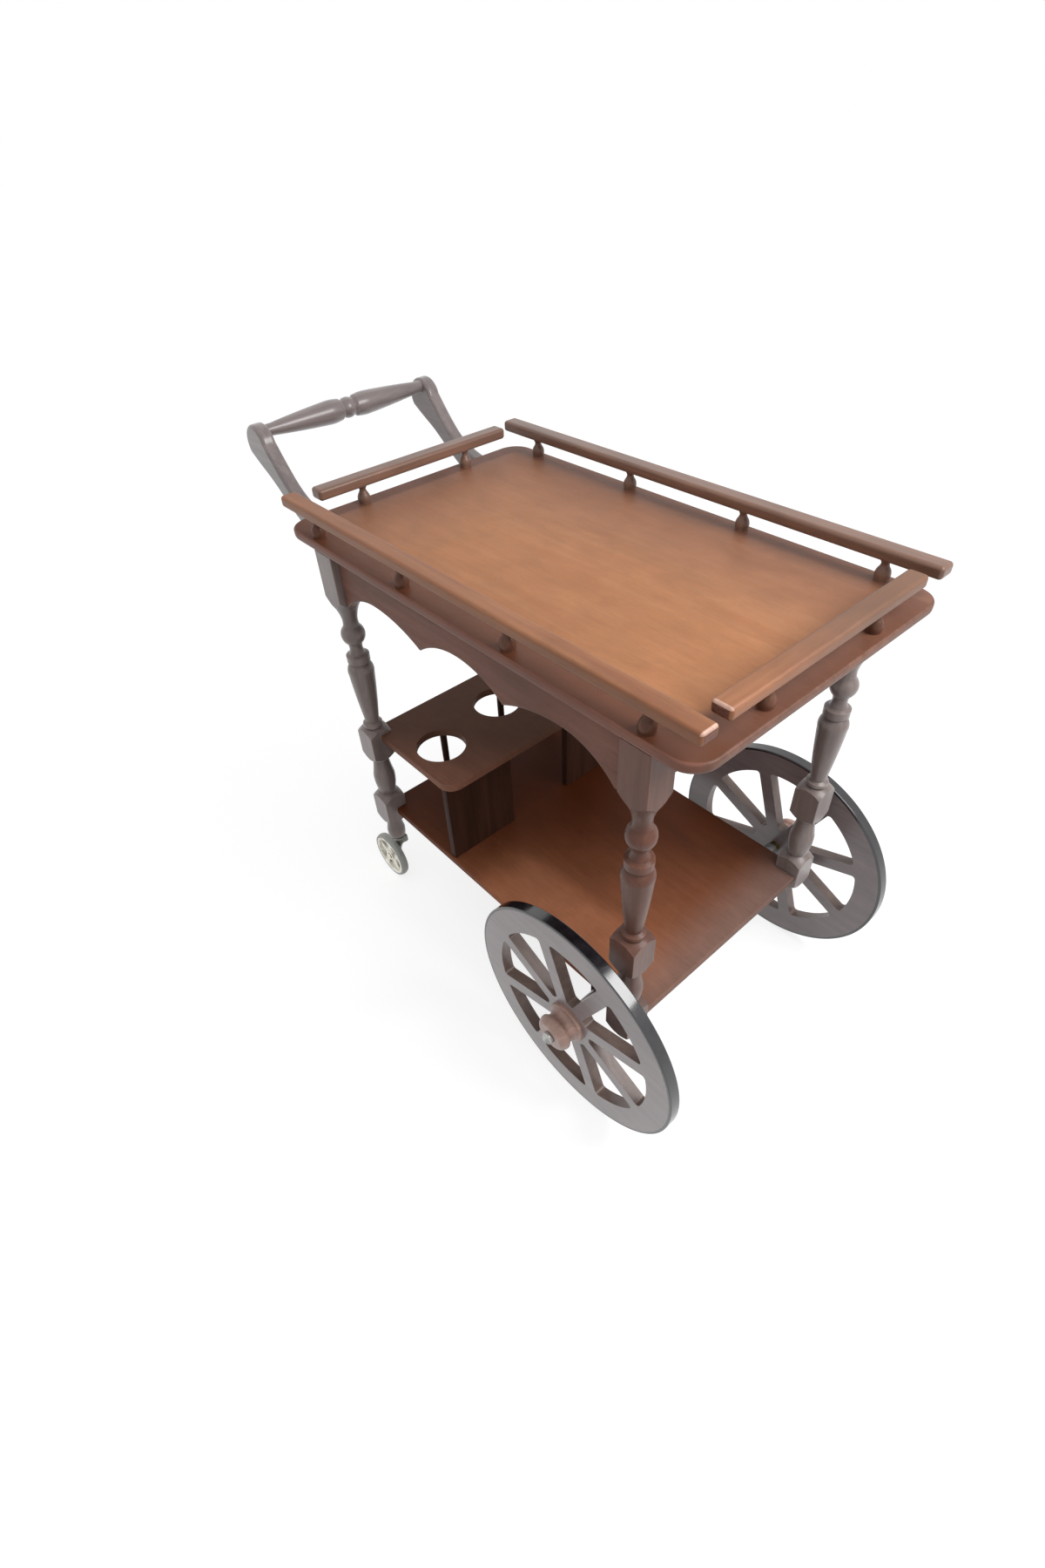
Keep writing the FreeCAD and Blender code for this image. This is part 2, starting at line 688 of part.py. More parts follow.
def make_pin(sign):
    """Headed pin that carries a caster wheel."""
    start = Vector(leg_rear_x - caster_trail, sign * plate_inner, caster_axis_z)
    out = Vector(0, sign, 0)
    length = fork_plate_thickness + fork_gap + caster_thickness + side_play
    profile = [(caster_pin_radius, 0.0), (caster_pin_radius, length), (caster_pin_head_radius, length),
               (caster_pin_head_radius, length + caster_pin_head_length)]
    return turned(straight(profile), start, out)


def make_caster_wheel(sign):
    """Cast wheel: rim, five spokes and a hub in one piece."""
    out = Vector(0, sign, 0)
    near = Vector(leg_rear_x - caster_trail, sign * (leg_y - caster_thickness / 2.0), caster_axis_z)
    rim_outer = caster_radius - caster_tyre_thickness
    wheel = ring(near, out, rim_outer, rim_outer - caster_rim_width, caster_thickness)
    wheel = wheel.fuse(rod(near, out, caster_hub_radius, caster_thickness))
    web = 0.5 * caster_thickness
    reach = rim_outer - 0.5 * caster_rim_width
    for i in range(caster_spoke_count):
        spoke = box(near.x, near.x + reach, sign * (leg_y - web / 2.0), sign * (leg_y + web / 2.0),
                    near.z - caster_spoke_width / 2.0, near.z + caster_spoke_width / 2.0)
        spoke.rotate(near, Vector(0, 1, 0), 90.0 + i * 360.0 / caster_spoke_count)
        wheel = wheel.fuse(spoke)
    wheel = wheel.removeSplitter()
    return wheel.cut(rod(near - out, out, caster_pin_radius + running_gap, caster_thickness + 2.0))


# Write the carcass
save("top_board", make_board())
for side, sign in sides.items():
    centre = Vector(board_x, sign * long_rail_y, 0)
    save("gallery_rail_" + side, make_rail(long_length, True, centre, spindle_spots[side]))
for end, sign in (("front", 1.0), ("rear", -1.0)):
    centre = Vector(board_x + sign * short_rail_x, 0, 0)
    save("gallery_rail_" + end, make_rail(short_length, False, centre, spindle_spots[end]))
for number, spot in enumerate(all_spots, 1):
    save("gallery_spindle_%02d" % number, make_spindle(spot))
for side, sign in sides.items():
    save("leg_front_" + side, make_leg(leg_front_x, sign, False))
    save("leg_rear_" + side, make_leg(leg_rear_x, sign, True))
    save("apron_" + side, make_apron(sign))
    save("bottle_support_" + side, make_support(sign))
    save("shelf_dowel_" + side, make_dowel(dowel_spots[side]))
    save("handle_arm_" + side, make_arm(sign))
save("end_rail_front", make_end_rail(leg_front_x))
save("end_rail_rear", make_end_rail(leg_rear_x))
save("lower_shelf", make_lower_shelf())
save("bottle_shelf", make_bottle_shelf())
save("handle_bar", make_bar())
save("axle_rod", make_axle())

# Write the running gear of each side
for side, sign in sides.items():
    out = Vector(0, sign, 0)
    save("axle_bearer_" + side, make_bearer(sign))
    spacer_length = bush_inner_y - side_play - bearer_outer_y
    save("axle_spacer_" + side, ring(along(sign, bearer_outer_y), out, spacer_radius, axle_radius + joint_gap,
                                     spacer_length))
    save("axle_cap_" + side, make_cap(sign))
    save("wheel_disc_" + side, make_wheel_disc(sign))
    tyre_inner = wheel_radius - tyre_thickness
    tyre_side = along(sign, wheel_inner_y)
    save("wheel_tyre_" + side, ring(tyre_side, out, wheel_radius, tyre_inner, wheel_thickness))
    save("wheel_hub_" + side, make_hub(sign))
    save("wheel_bush_" + side, ring(along(sign, bush_inner_y), out, bush_radius, axle_radius + running_gap,
                                    hub_outer_y - bush_inner_y))
    save("caster_socket_" + side, make_socket(sign))
    save("caster_fork_" + side, make_fork(sign))
    save("caster_pin_" + side, make_pin(sign))
    save("caster_wheel_" + side, make_caster_wheel(sign))
    tyre_near = Vector(leg_rear_x - caster_trail, sign * (leg_y - caster_thickness / 2.0), caster_axis_z)
    save("caster_tyre_" + side, ring(tyre_near, out, caster_radius, caster_radius - caster_tyre_thickness,
                                     caster_thickness))
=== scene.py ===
"""Looks of a serving trolley: a galleried tray on four turned legs, a bottle rack over a long
shelf, a push handle, two fretted cart wheels and two swivel casters."""

import json
import logging
import math
from dataclasses import dataclass
from enum import Enum
from typing import Callable, Sequence

import bmesh
import bpy
import numpy
from mathutils import Matrix, Vector


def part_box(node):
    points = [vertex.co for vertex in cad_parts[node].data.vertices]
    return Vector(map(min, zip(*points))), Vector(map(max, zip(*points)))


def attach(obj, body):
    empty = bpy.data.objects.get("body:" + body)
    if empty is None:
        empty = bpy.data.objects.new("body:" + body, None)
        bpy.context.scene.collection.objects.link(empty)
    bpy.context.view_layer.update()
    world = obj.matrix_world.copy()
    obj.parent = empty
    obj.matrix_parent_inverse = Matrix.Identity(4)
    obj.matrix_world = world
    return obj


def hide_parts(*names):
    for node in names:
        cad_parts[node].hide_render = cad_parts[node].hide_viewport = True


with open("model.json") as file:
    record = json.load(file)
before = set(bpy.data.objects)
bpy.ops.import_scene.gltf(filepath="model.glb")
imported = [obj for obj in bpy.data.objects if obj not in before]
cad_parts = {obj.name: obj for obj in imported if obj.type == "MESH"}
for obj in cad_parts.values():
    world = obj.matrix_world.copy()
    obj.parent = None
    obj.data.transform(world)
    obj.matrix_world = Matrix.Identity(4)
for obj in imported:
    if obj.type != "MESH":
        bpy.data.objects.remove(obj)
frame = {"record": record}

Flat = tuple[float, float]
Runs = Sequence[Sequence[Flat]]
Triple = tuple[float, float, float]
Colour = tuple[float, float, float, float]
Piece = bpy.types.Object
Tree = bpy.types.NodeTree
Socket = bpy.types.NodeSocket
Material = bpy.types.Material

LOG = logging.getLogger("trolley")
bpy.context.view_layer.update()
CARCASS = "carcass"
UP = Vector((0.0, 0.0, 1.0))
LEFTWARDS = Vector((0.0, 1.0, 0.0))
RIGHTWARDS = Vector((0.0, -1.0, 0.0))
# Points closer than this are one point
TIGHT = 1e-6
# Three points that span less than this area lie on a straight line
STRAIGHT = 1e-12
# Side of the plane that a traced line starts from
SEED = 0.001
# How far a drill or a saw runs past the wood
TOOL_PAST = 0.01
# Corners flatter than this many degrees, as along a sawn curve, aren't rounded
SAWN_ANGLE = 50.0


class Grain(Enum):
    """Which way the fibres of a piece run, as the axis's number."""

    LENGTHWISE = 0
    CROSSWISE = 1
    UPRIGHT = 2


class Side(Enum):
    """The two sides of the trolley, as the frame spells them."""

    RIGHT = "right"
    LEFT = "left"


class Edge(Enum):
    """Edge of a board: its axis, and 0 for the low or 1 for the high end."""

    REAR = (0, 0)
    FRONT = (0, 1)
    NEAR = (1, 0)
    FAR = (1, 1)


class Cut(Enum):
    """How one solid works on another."""

    AWAY = "DIFFERENCE"
    COMMON = "INTERSECT"
    TOGETHER = "UNION"


class Slot(Enum):
    """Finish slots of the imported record."""

    BOARD = "board_wood"
    RAIL = "rail_wood"
    TURNED = "turned_wood"
    WHEEL = "wheel_wood"
    TYRE = "tyre_rubber"
    STEEL = "steel"
    BUSH = "bush_brass"
    CASTER = "caster_brass"


# Finishes


def linear(hex_colour: str) -> Colour:
    """Turn an sRGB hex colour into linear light.

    Args:
        hex_colour: Colour written as #rrggbb.

    Returns:
        Red, green, blue and a full alpha.
    """
    values = [int(hex_colour[i:i + 2], 16) / 255.0 for i in (1, 3, 5)]
    red, green, blue = [v / 12.92 if v <= 0.04045 else ((v + 0.055) / 1.055) ** 2.4 for v in values]
    return red, green, blue, 1.0


def add_node(tree: Tree, kind: str, inputs: dict | None = None, stops: Sequence[tuple[float, Colour]] = (),
             **settings: object) -> bpy.types.Node:
    """Add a shader node with its settings, values and links.

    Args:
        tree: Node tree that gets the node.
        kind: Blender's name for the node type.
        inputs: Sockets by name or number, each with a value or with the socket that feeds it.
        stops: Places and colours of a colour ramp.
        settings: Properties of the node itself.

    Returns:
        The new node.
    """
    node = tree.nodes.new(kind)
    for key, value in settings.items():
        setattr(node, key, value)
    for place, (position, colour) in enumerate(stops):
        ramp = node.color_ramp.elements
        element = ramp[place] if place < len(ramp) else ramp.new(position)
        element.position = position
        element.color = colour
    for socket, value in (inputs or {}).items():
        if isinstance(value, bpy.types.NodeSocket):
            tree.links.new(value, node.inputs[socket])
        else:
            node.inputs[socket].default_value = value
    return node


def grey(level: float) -> Colour:
    """Neutral colour of one level."""
    return level, level, level, 1.0


def new_tree(name: str) -> tuple[Material, Tree]:
    """Start an empty node material.

    Args:
        name: Name of the material.

    Returns:
        The material and its node tree.
    """
    material = bpy.data.materials.new(name)
    material.use_nodes = True
    material.node_tree.nodes.clear()
    return material, material.node_tree


@dataclass(frozen=True)
class Margin:
    """Band of another colour along some edges of a board: painted shade that falls there or painted light
    that catches the edge, at the tray's edges partly a deeper stain too.

    Its share is full from the edge to the solid width and fades out at the whole width. Where it has a
    start, it fades in along the edge between those two places.
    """

    stain: str
    edges: tuple[Edge, ...]
    width: float
    solid: float = 0.0
    share: float = 1.0
    start: Flat | None = None


@dataclass(frozen=True)
class WoodFinish:
    """Stained hardwood under lacquer, with streaks, fibres and open pores along the grain.

    Lengths are real sizes in metres; fibres and pores are drawn two to three times as coarse as
    they are, so that they show in a picture of the whole trolley. A span gives the values of a noise
    between which a mark changes.
    """

    name: str
    dark: str
    middle: str
    light: str
    streak_across: float = 0.014
    streak_along: float = 0.24
    fibre_across: float = 0.0030
    fibre_along: float = 0.060
    pore_across: float = 0.0018
    pore_along: float = 0.014
    blotch: float = 0.085
    blotch_stretch: float = 1.6
    blotch_depth: float = 0.14
    fibre_depth: float = 0.05
    fibre_lift: float = 0.7
    pore_depth: float = 0.10
    streak_stops: Triple = (0.32, 0.66, 0.50)
    fibre_span: Flat = (0.34, 0.66)
    blotch_span: Flat = (0.32, 0.68)
    pore_span: Flat = (0.60, 0.70)
    corner_span: Flat = (0.44, 0.56)
    gloss_span: Flat = (0.30, 0.70)
    gloss_change: Flat = (-0.06, 0.08)
    roughness: float = 0.42
    lacquer: float = 0.5
    lacquer_roughness: float = 0.30
    relief: float = 0.00018
    relief_share: float = 0.35
    rubbed: float = 0.0
    haze: float = 0.0
    haze_tint: str = "#e6e4e8"
    specular: float = 0.3
    board: str = "top_board"
    # Margins and the tone along a way are painted light and shade, at the tray's edges partly a deeper
    # stain too
    margins: tuple[Margin, ...] = ()
    painted_light_tone: str = ""
    painted_light_way: Triple = (-0.6, 0.8, 0.0)
    painted_light_from: float = 0.0
    painted_light_to: float = 0.0

    def bordered(self, tree: Tree, margin: Margin) -> Socket:
        """Share of a margin's painted tone of light and shade.

        Args:
            tree: Node tree that gets the nodes.
            margin: Band along the edges of the finish's board.

        Returns:
            Socket that is 0 in the middle of the board.
        """
        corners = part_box(self.board)
        place = add_node(tree, "ShaderNodeTexCoord").outputs["Object"]
        parts = add_node(tree, "ShaderNodeSeparateXYZ", {0: place})
        total = None
        for edge in margin.edges:
            axis, end = edge.value
            inward = 1.0 - 2.0 * end
            away = add_node(tree, "ShaderNodeMath", {
                0: parts.outputs[axis], 1: inward, 2: -inward * corners[end][axis]},
                operation="MULTIPLY_ADD")
            tone = add_node(tree, "ShaderNodeMapRange", {
                0: away.outputs[0], 1: margin.width, 2: margin.solid, 4: margin.share},
                interpolation_type="SMOOTHSTEP").outputs[0]
            if margin.start:
                first, full = margin.start
                fade = add_node(tree, "ShaderNodeMapRange", {0: parts.outputs[1 - axis], 1: first, 2: full},
                                interpolation_type="SMOOTHSTEP").outputs[0]
                tone = add_node(tree, "ShaderNodeMath", {0: tone, 1: fade}, operation="MULTIPLY").outputs[0]
            if total is not None:
                tone = add_node(tree, "ShaderNodeMath", {0: total, 1: tone}, operation="MAXIMUM").outputs[0]
            total = tone
        return total

    def painted_light_share(self, tree: Tree) -> Socket:
        """Share of the painted tone of light and shade, which grows along its way over the trolley.

        Args:
            tree: Node tree that gets the nodes.

        Returns:
            Socket that is 0 where the painted tone starts and 1 where it is full.
        """
        place = add_node(tree, "ShaderNodeTexCoord").outputs["Object"]
        deep = add_node(tree, "ShaderNodeVectorMath", {0: place, 1: self.painted_light_way},
                        operation="DOT_PRODUCT")
        return add_node(tree, "ShaderNodeMapRange", {
            0: deep.outputs["Value"], 1: self.painted_light_from, 2: self.painted_light_to},
            interpolation_type="SMOOTHSTEP").outputs[0]

    def grained(self, tree: Tree, grain: Grain, across: float, along: float, detail: float,
                twist: float) -> Socket:
        """Noise drawn out along the grain.

        Args:
            tree: Node tree that gets the nodes.
            grain: Way the fibres run.
            across: Size of one mark across the grain.
            along: Size of one mark along the grain.
            detail: Octaves of finer marks.
            twist: How far the marks wander.

        Returns:
            Socket with values about 0.5.
        """
        scale = [1.0 / across] * 3
        scale[grain.value] = 1.0 / along
        place = add_node(tree, "ShaderNodeTexCoord").outputs["Object"]
        turned = add_node(tree, "ShaderNodeMapping", {"Vector": place, "Scale": scale})
        noise = add_node(tree, "ShaderNodeTexNoise", {
            "Vector": turned.outputs[0], "Scale": 1.0, "Detail": detail, "Roughness": 0.6,
            "Distortion": twist})
        return noise.outputs[0]

    def stained(self, tree: Tree, streaks: Socket) -> Socket:
        """Colour of the stain with its streaks, with painted light and shade laid over it: the tone along a
        way and the margins.

        Args:
            tree: Node tree that gets the nodes.
            streaks: Noise of the broad streaks.

        Returns:
            Socket with the colour.
        """
        stains = (self.dark, self.light, self.middle)
        ground = add_node(tree, "ShaderNodeValToRGB", {0: streaks}, [
            (stop, linear(stain)) for stop, stain in zip(self.streak_stops, stains)]).outputs[0]
        # Painted light and shade over the stain: the tone along a way, then each margin
        layers = [(self.painted_light_share(tree), self.painted_light_tone)] if self.painted_light_tone else []
        layers += [(self.bordered(tree, margin), margin.stain) for margin in self.margins]
        for share, stain in layers:
            ground = add_node(tree, "ShaderNodeMix", {0: share, 6: ground, 7: linear(stain)},
                              data_type="RGBA").outputs[2]
        return ground

    def make(self, grain: Grain) -> Material:
        """Make the finish for one grain direction, or give the one made before.

        Args:
            grain: Way the fibres run.

        Returns:
            The material.
        """
        full_name = f"{self.name}_{grain.name.lower()}"
        if full_name in bpy.data.materials:
            return bpy.data.materials[full_name]
        material, tree = new_tree(full_name)
        long_blotch = self.blotch_stretch * self.blotch
        streaks = self.grained(tree, grain, self.streak_across, self.streak_along, detail=4.0, twist=0.7)
        fibres = self.grained(tree, grain, self.fibre_across, self.fibre_along, detail=2.0, twist=0.2)
        pores = self.grained(tree, grain, self.pore_across, self.pore_along, detail=1.0, twist=0.0)
        clouds = self.grained(tree, grain, self.blotch, long_blotch, detail=3.0, twist=0.4)
        smooth, rough = [self.roughness + change for change in self.gloss_change]
        marks = [
            (fibres, self.gloss_span, smooth, rough),
            (fibres, self.fibre_span, 1.0 - self.fibre_depth, 1.0 + self.fibre_lift * self.fibre_depth),
            (pores, self.pore_span, 1.0, 1.0 - self.pore_depth),
            (clouds, self.blotch_span, 1.0 - self.blotch_depth, 1.0 + self.blotch_depth)]
        if self.rubbed > 0.0:
            corners = add_node(tree, "ShaderNodeNewGeometry").outputs["Pointiness"]
            marks.append((corners, self.corner_span, 1.0 - self.rubbed, 1.0 + self.rubbed))
        gloss, *tones = [
            add_node(tree, "ShaderNodeMapRange", {0: noise, 1: first, 2: last, 3: low, 4: high}).outputs[0]
            for noise, (first, last), low, high in marks]
        shades = [tones[0]]
        for tone in tones[1:]:
            shade = add_node(tree, "ShaderNodeMath", {0: shades[-1], 1: tone}, operation="MULTIPLY")
            shades.append(shade.outputs[0])
        colour = add_node(tree, "ShaderNodeVectorMath", {0: self.stained(tree, streaks), 1: shades[-1]},
                          operation="MULTIPLY")
        # Fibres and pores, and not the clouds, are felt as relief
        bump = add_node(tree, "ShaderNodeBump", {
            "Height": shades[1], "Strength": self.relief_share, "Distance": self.relief})
        shader = add_node(tree, "ShaderNodeBsdfPrincipled", {
            "Base Color": colour.outputs[0], "Roughness": gloss, "Normal": bump.outputs[0], "IOR": 1.5,
            "Specular IOR Level": self.specular, "Coat Weight": self.lacquer,
            "Coat Roughness": self.lacquer_roughness, "Coat IOR": 1.5, "Sheen Weight": self.haze,
            "Sheen Roughness": 0.42, "Sheen Tint": linear(self.haze_tint)})
        add_node(tree, "ShaderNodeOutputMaterial", {"Surface": shader.outputs[0]})
        return material


@dataclass(frozen=True)
class FilmFinish:
    """Smooth material under a patchy film, with fine marks in relief.

    The film is a noise, which changes the tone and the roughness; a span gives the values of the noise
    between which they change.
    """

    name: str
    low_tone: str
    high_tone: str
    roughness: float
    tone_span: Flat
    gloss_span: Flat
    gloss_change: Flat
    patch: float
    patch_detail: float
    patch_roughness: float
    patch_twist: float
    mark: float
    relief_share: float
    shading: tuple[tuple[str, float], ...]

    def make(self) -> Material:
        """Make the finish, or give the one made before."""
        if self.name in bpy.data.materials:
            return bpy.data.materials[self.name]
        material, tree = new_tree(self.name)
        place = add_node(tree, "ShaderNodeTexCoord").outputs["Object"]
        film = add_node(tree, "ShaderNodeTexNoise", {
            "Vector": place, "Scale": 1.0 / self.patch, "Detail": self.patch_detail,
            "Roughness": self.patch_roughness, "Distortion": self.patch_twist}).outputs[0]
        marks = add_node(tree, "ShaderNodeTexNoise", {
            "Vector": place, "Scale": 1.0 / self.mark, "Detail": 2.0})
        tones = (linear(self.low_tone), linear(self.high_tone))
        colour = add_node(tree, "ShaderNodeValToRGB", {0: film}, tuple(zip(self.tone_span, tones)))
        first, last = self.gloss_span
        low, high = [self.roughness + change for change in self.gloss_change]
        gloss = add_node(tree, "ShaderNodeMapRange", {0: film, 1: first, 2: last, 3: low, 4: high})
        bump = add_node(tree, "ShaderNodeBump", {
            "Height": marks.outputs[0], "Strength": self.relief_share, "Distance": 0.0001})
        shader = add_node(tree, "ShaderNodeBsdfPrincipled", {
            "Base Color": colour.outputs[0], "Roughness": gloss.outputs[0], "Normal": bump.outputs[0],
            **dict(self.shading)})
        add_node(tree, "ShaderNodeOutputMaterial", {"Surface": shader.outputs[0]})
        return material


@dataclass(frozen=True)
class MetalFinish(FilmFinish):
    """Polished metal with fine handling scratches and a film of tarnish, which is its low tone."""

    tone_span: Flat = (0.36, 0.60)
    gloss_span: Flat = (0.30, 0.68)
    gloss_change: Flat = (0.16, 0.0)
    patch: float = 0.014
    patch_detail: float = 5.0
    patch_roughness: float = 0.62
    patch_twist: float = 0.5
    mark: float = 0.0012
    relief_share: float = 0.12
    shading: tuple[tuple[str, float], ...] = (("Metallic", 1.0),)


@dataclass(frozen=True)
class RubberFinish(FilmFinish):
    """Moulded rubber, polished by use, with smears of dust, which are its high tone."""

    tone_span: Flat = (0.42, 0.74)
    gloss_span: Flat = (0.32, 0.70)
    gloss_change: Flat = (0.0, 0.10)
    patch: float = 0.020
    patch_detail: float = 4.0
    patch_roughness: float = 0.6
    patch_twist: float = 0.0
    mark: float = 0.0022
    relief_share: float = 0.08
    shading: tuple[tuple[str, float], ...] = (("IOR", 1.52), ("Specular IOR Level", 0.9))


# Mahogany veneer on the tray: warm tan brown, fine short flecks, a satin film that hardly mirrors, and red
# brown margins, which reach in under the near and front rails: painted shade of the rails and of the light
# falling off towards the rear and far side, partly a deeper stain at the edges
TRAY_VENEER = WoodFinish(
    "mahogany_veneer_satin", "#a56d47", "#a8714b", "#ab754f", fibre_along=0.018, pore_depth=0.07,
    pore_along=0.006, blotch=0.04, blotch_depth=0.085, lacquer=0.12, lacquer_roughness=0.32,
    roughness=0.52, margins=(
        Margin("#78564a", (Edge.REAR, Edge.FAR), 0.240, share=0.68),
        Margin("#704837", (Edge.REAR,), 0.034, 0.024),
        Margin("#704837", (Edge.FRONT,), 0.060, 0.040),
        Margin("#805846", (Edge.FAR,), 0.034, 0.024),
        Margin("#6a3f2a", (Edge.NEAR,), 0.060, 0.040)))
# Solid rails: the same stain, brushed lacquer with a soft shine, and shade painted on towards the far side
RAIL_WOOD = WoodFinish(
    "stained_rail_wood", "#8b583c", "#926041", "#996747", lacquer=0.15, painted_light_tone="#77533e",
    painted_light_way=(0.0, 1.0, 0.0), painted_light_from=-0.14, painted_light_to=0.05)
# Far and rear rails and their posts: the rail stain painted darker as shade of the far side, under a grey
# sheen
SHADED_RAIL = WoodFinish("greyed_rail_wood", "#6d4f40", "#775747", "#815f4e", lacquer=0.35, haze=0.3)
# Edge of the tray board: the rails' stain a shade deeper, with paler red painted along the near side as
# light there
EDGE_WOOD = WoodFinish(
    "stained_board_edge", "#684839", "#704e40", "#785547", lacquer=0.12, lacquer_roughness=0.28,
    specular=0.15, margins=(Margin("#82584a", (Edge.NEAR,), 0.020, 0.010),))
# Other little posts: red brown, painted darker as shade under the rails, and darker in the hollow of the
# neck
POST_WOOD = WoodFinish(
    "turned_post_wood", "#553527", "#5f3d2e", "#694535", lacquer=0.2, lacquer_roughness=0.26, rubbed=0.2,
    specular=0.15)
# Side boards: stained a dull red brown, with little shine
FRAME_WOOD = WoodFinish(
    "dull_red_brown_board", "#754f41", "#7d5648", "#855d4f", pore_depth=0.12, lacquer=0.06,
    roughness=0.5, haze=0.08, specular=0.15)
# Rack uprights, dowels, axle blocks and hidden rails: nearly black brown, partly painted shade under the
# tray and shelves
RACK_WOOD = WoodFinish(
    "dark_rack_board", "#341f17", "#3b241b", "#42291f", fibre_depth=0.06, pore_depth=0.14,
    roughness=0.55, lacquer=0.02, lacquer_roughness=0.32, specular=0.08)
# Near front leg: dark stain that gathers in the grooves, under a thin sheen, with grey painted on towards
# the floor as the pale floor's reflection
TURNED_WOOD = WoodFinish(
    "turned_dark_hardwood", "#5c392c", "#644033", "#6c473a", fibre_depth=0.04, pore_depth=0.08,
    lacquer=0.24, lacquer_roughness=0.24, rubbed=0.25, haze=0.04, specular=0.2, painted_light_tone="#6e5851",
    painted_light_way=(0.0, 0.0, -1.0), painted_light_from=-0.42, painted_light_to=-0.27)
# Other legs: the stain painted a paler grey as the reflection of pale surroundings, under lacquer and a
# grey sheen
SHEEN_PAINTED_TURNED = WoodFinish(
    "greyed_turned_hardwood", "#70625d", "#796b66", "#82746f", fibre_depth=0.04, pore_depth=0.08,
    lacquer=0.45, lacquer_roughness=0.26, rubbed=0.22, haze=0.6)
# Push handle: the legs' stain painted grey as the sheen of pale surroundings, with a broad soft shine
HANDLE_WOOD = WoodFinish(
    "hand_worn_handle_wood", "#6e6261", "#786c6a", "#827673", pore_depth=0.08, lacquer=0.9,
    lacquer_roughness=0.24, haze=0.65)
# Cart wheels: a grey stain that partly paints the pale floor's sheen, under a thick gloss that picks up the
# floor too
WHEEL_WOOD = WoodFinish(
    "lacquered_wheel_wood", "#736767", "#7b6e6e", "#837575", fibre_depth=0.04, pore_depth=0.06,
    lacquer=0.85, lacquer_roughness=0.26, haze=0.55)
# Sawn walls of the wheels' windows: browner, with less lacquer
SAWN_WALL = WoodFinish(
    "sawn_window_wall", "#67564f", "#6f5d56", "#77655d", fibre_depth=0.06, lacquer=0.3, haze=0.25)
# Wheel hubs: turned, pink brown
HUB_WOOD = WoodFinish(
    "turned_hub_wood", "#957669", "#a08074", "#ab8b7f", pore_depth=0.08, lacquer=0.5,
    lacquer_roughness=0.26, rubbed=0.2, haze=0.25)
# Lower shelf: mahogany veneer, with shade painted where the tray keeps off the light, pale painted light
# along its near edge and a painted grey sheen along its front edge
SHELF_VENEER = WoodFinish(
    "mahogany_shelf_veneer", "#9e6446", "#a4684a", "#aa6d4e", fibre_along=0.03, pore_depth=0.08,
    blotch=0.06, blotch_depth=0.12, roughness=0.55, lacquer=0.03, specular=0.1, painted_light_tone="#4b230f",
    painted_light_from=-0.45, painted_light_to=0.05, board="lower_shelf", margins=(
        Margin("#a56b4d", (Edge.NEAR,), 0.125, 0.075, 0.8, (0.0, 0.10)),
        Margin("#7c6760", (Edge.FRONT,), 0.090, share=0.7)))
# Bottle shelf: the same veneer, painted darker away from its open corner as the shade under the tray
BOTTLE_VENEER = WoodFinish(
    "dark_bottle_shelf_veneer", "#835948", "#8b5f4d", "#936552", pore_depth=0.09, blotch=0.06,
    blotch_depth=0.12, roughness=0.55, lacquer=0.05, specular=0.12, painted_light_tone="#624334", painted_light_from=-0.15,
    painted_light_to=0.0)
# Rail ends' upper arris: a pale painted highlight where the arris catches the light
HIGHLIGHT_ARRIS = WoodFinish(
    "bare_wood_arris", "#bb917d", "#c69e8b", "#d0ab99", lacquer=0.4, lacquer_roughness=0.2)
# Side boards' arrises: a darker brown than the boards
DARK_ARRIS = WoodFinish(
    "rubbed_dark_arris", "#553a2e", "#5e4134", "#67483a", lacquer=0.3, lacquer_roughness=0.24)
# Cut ends: stain soaks in deep, so they are dark and speckled with short pores
END_GRAIN = WoodFinish(
    "end_grain", "#5a3528", "#6a4132", "#794e3d", streak_across=0.004, streak_along=0.004,
    fibre_across=0.0016, fibre_along=0.0016, fibre_depth=0.16, pore_across=0.0014, pore_along=0.0014,
    pore_depth=0.25, lacquer=0.2, lacquer_roughness=0.32, roughness=0.55)
# Black rubber strip round the cart wheels, polished like glass by wear
TYRE_RUBBER = RubberFinish("black_rubber", "#17161b", "#29282c", 0.10)
# Pale grey rubber on the casters
CASTER_RUBBER = RubberFinish("grey_caster_rubber", "#999a95", "#a8a9a3", 0.38)
# Zinc-plated steel of the axle, its tubes and its nuts
ZINC_STEEL = MetalFinish("zinc_plated_steel", "#7d7c79", "#b8b8b6", 0.30)
# Cast caster wheels: brass under worn nickel, pale grey with a warm cast
CAST_BRASS = MetalFinish("worn_nickel_on_brass", "#c3bfb4", "#ebe8de", 0.36)
# Caster forks and sockets: the same plating gone dull
DULL_PLATE = MetalFinish("dull_plated_fork", "#63615c", "#85837d", 0.40)
# Drawn brass of the bearing sleeves
DRAWN_BRASS = MetalFinish("drawn_brass", "#5f4d30", "#8a7750", 0.34)


# Lines


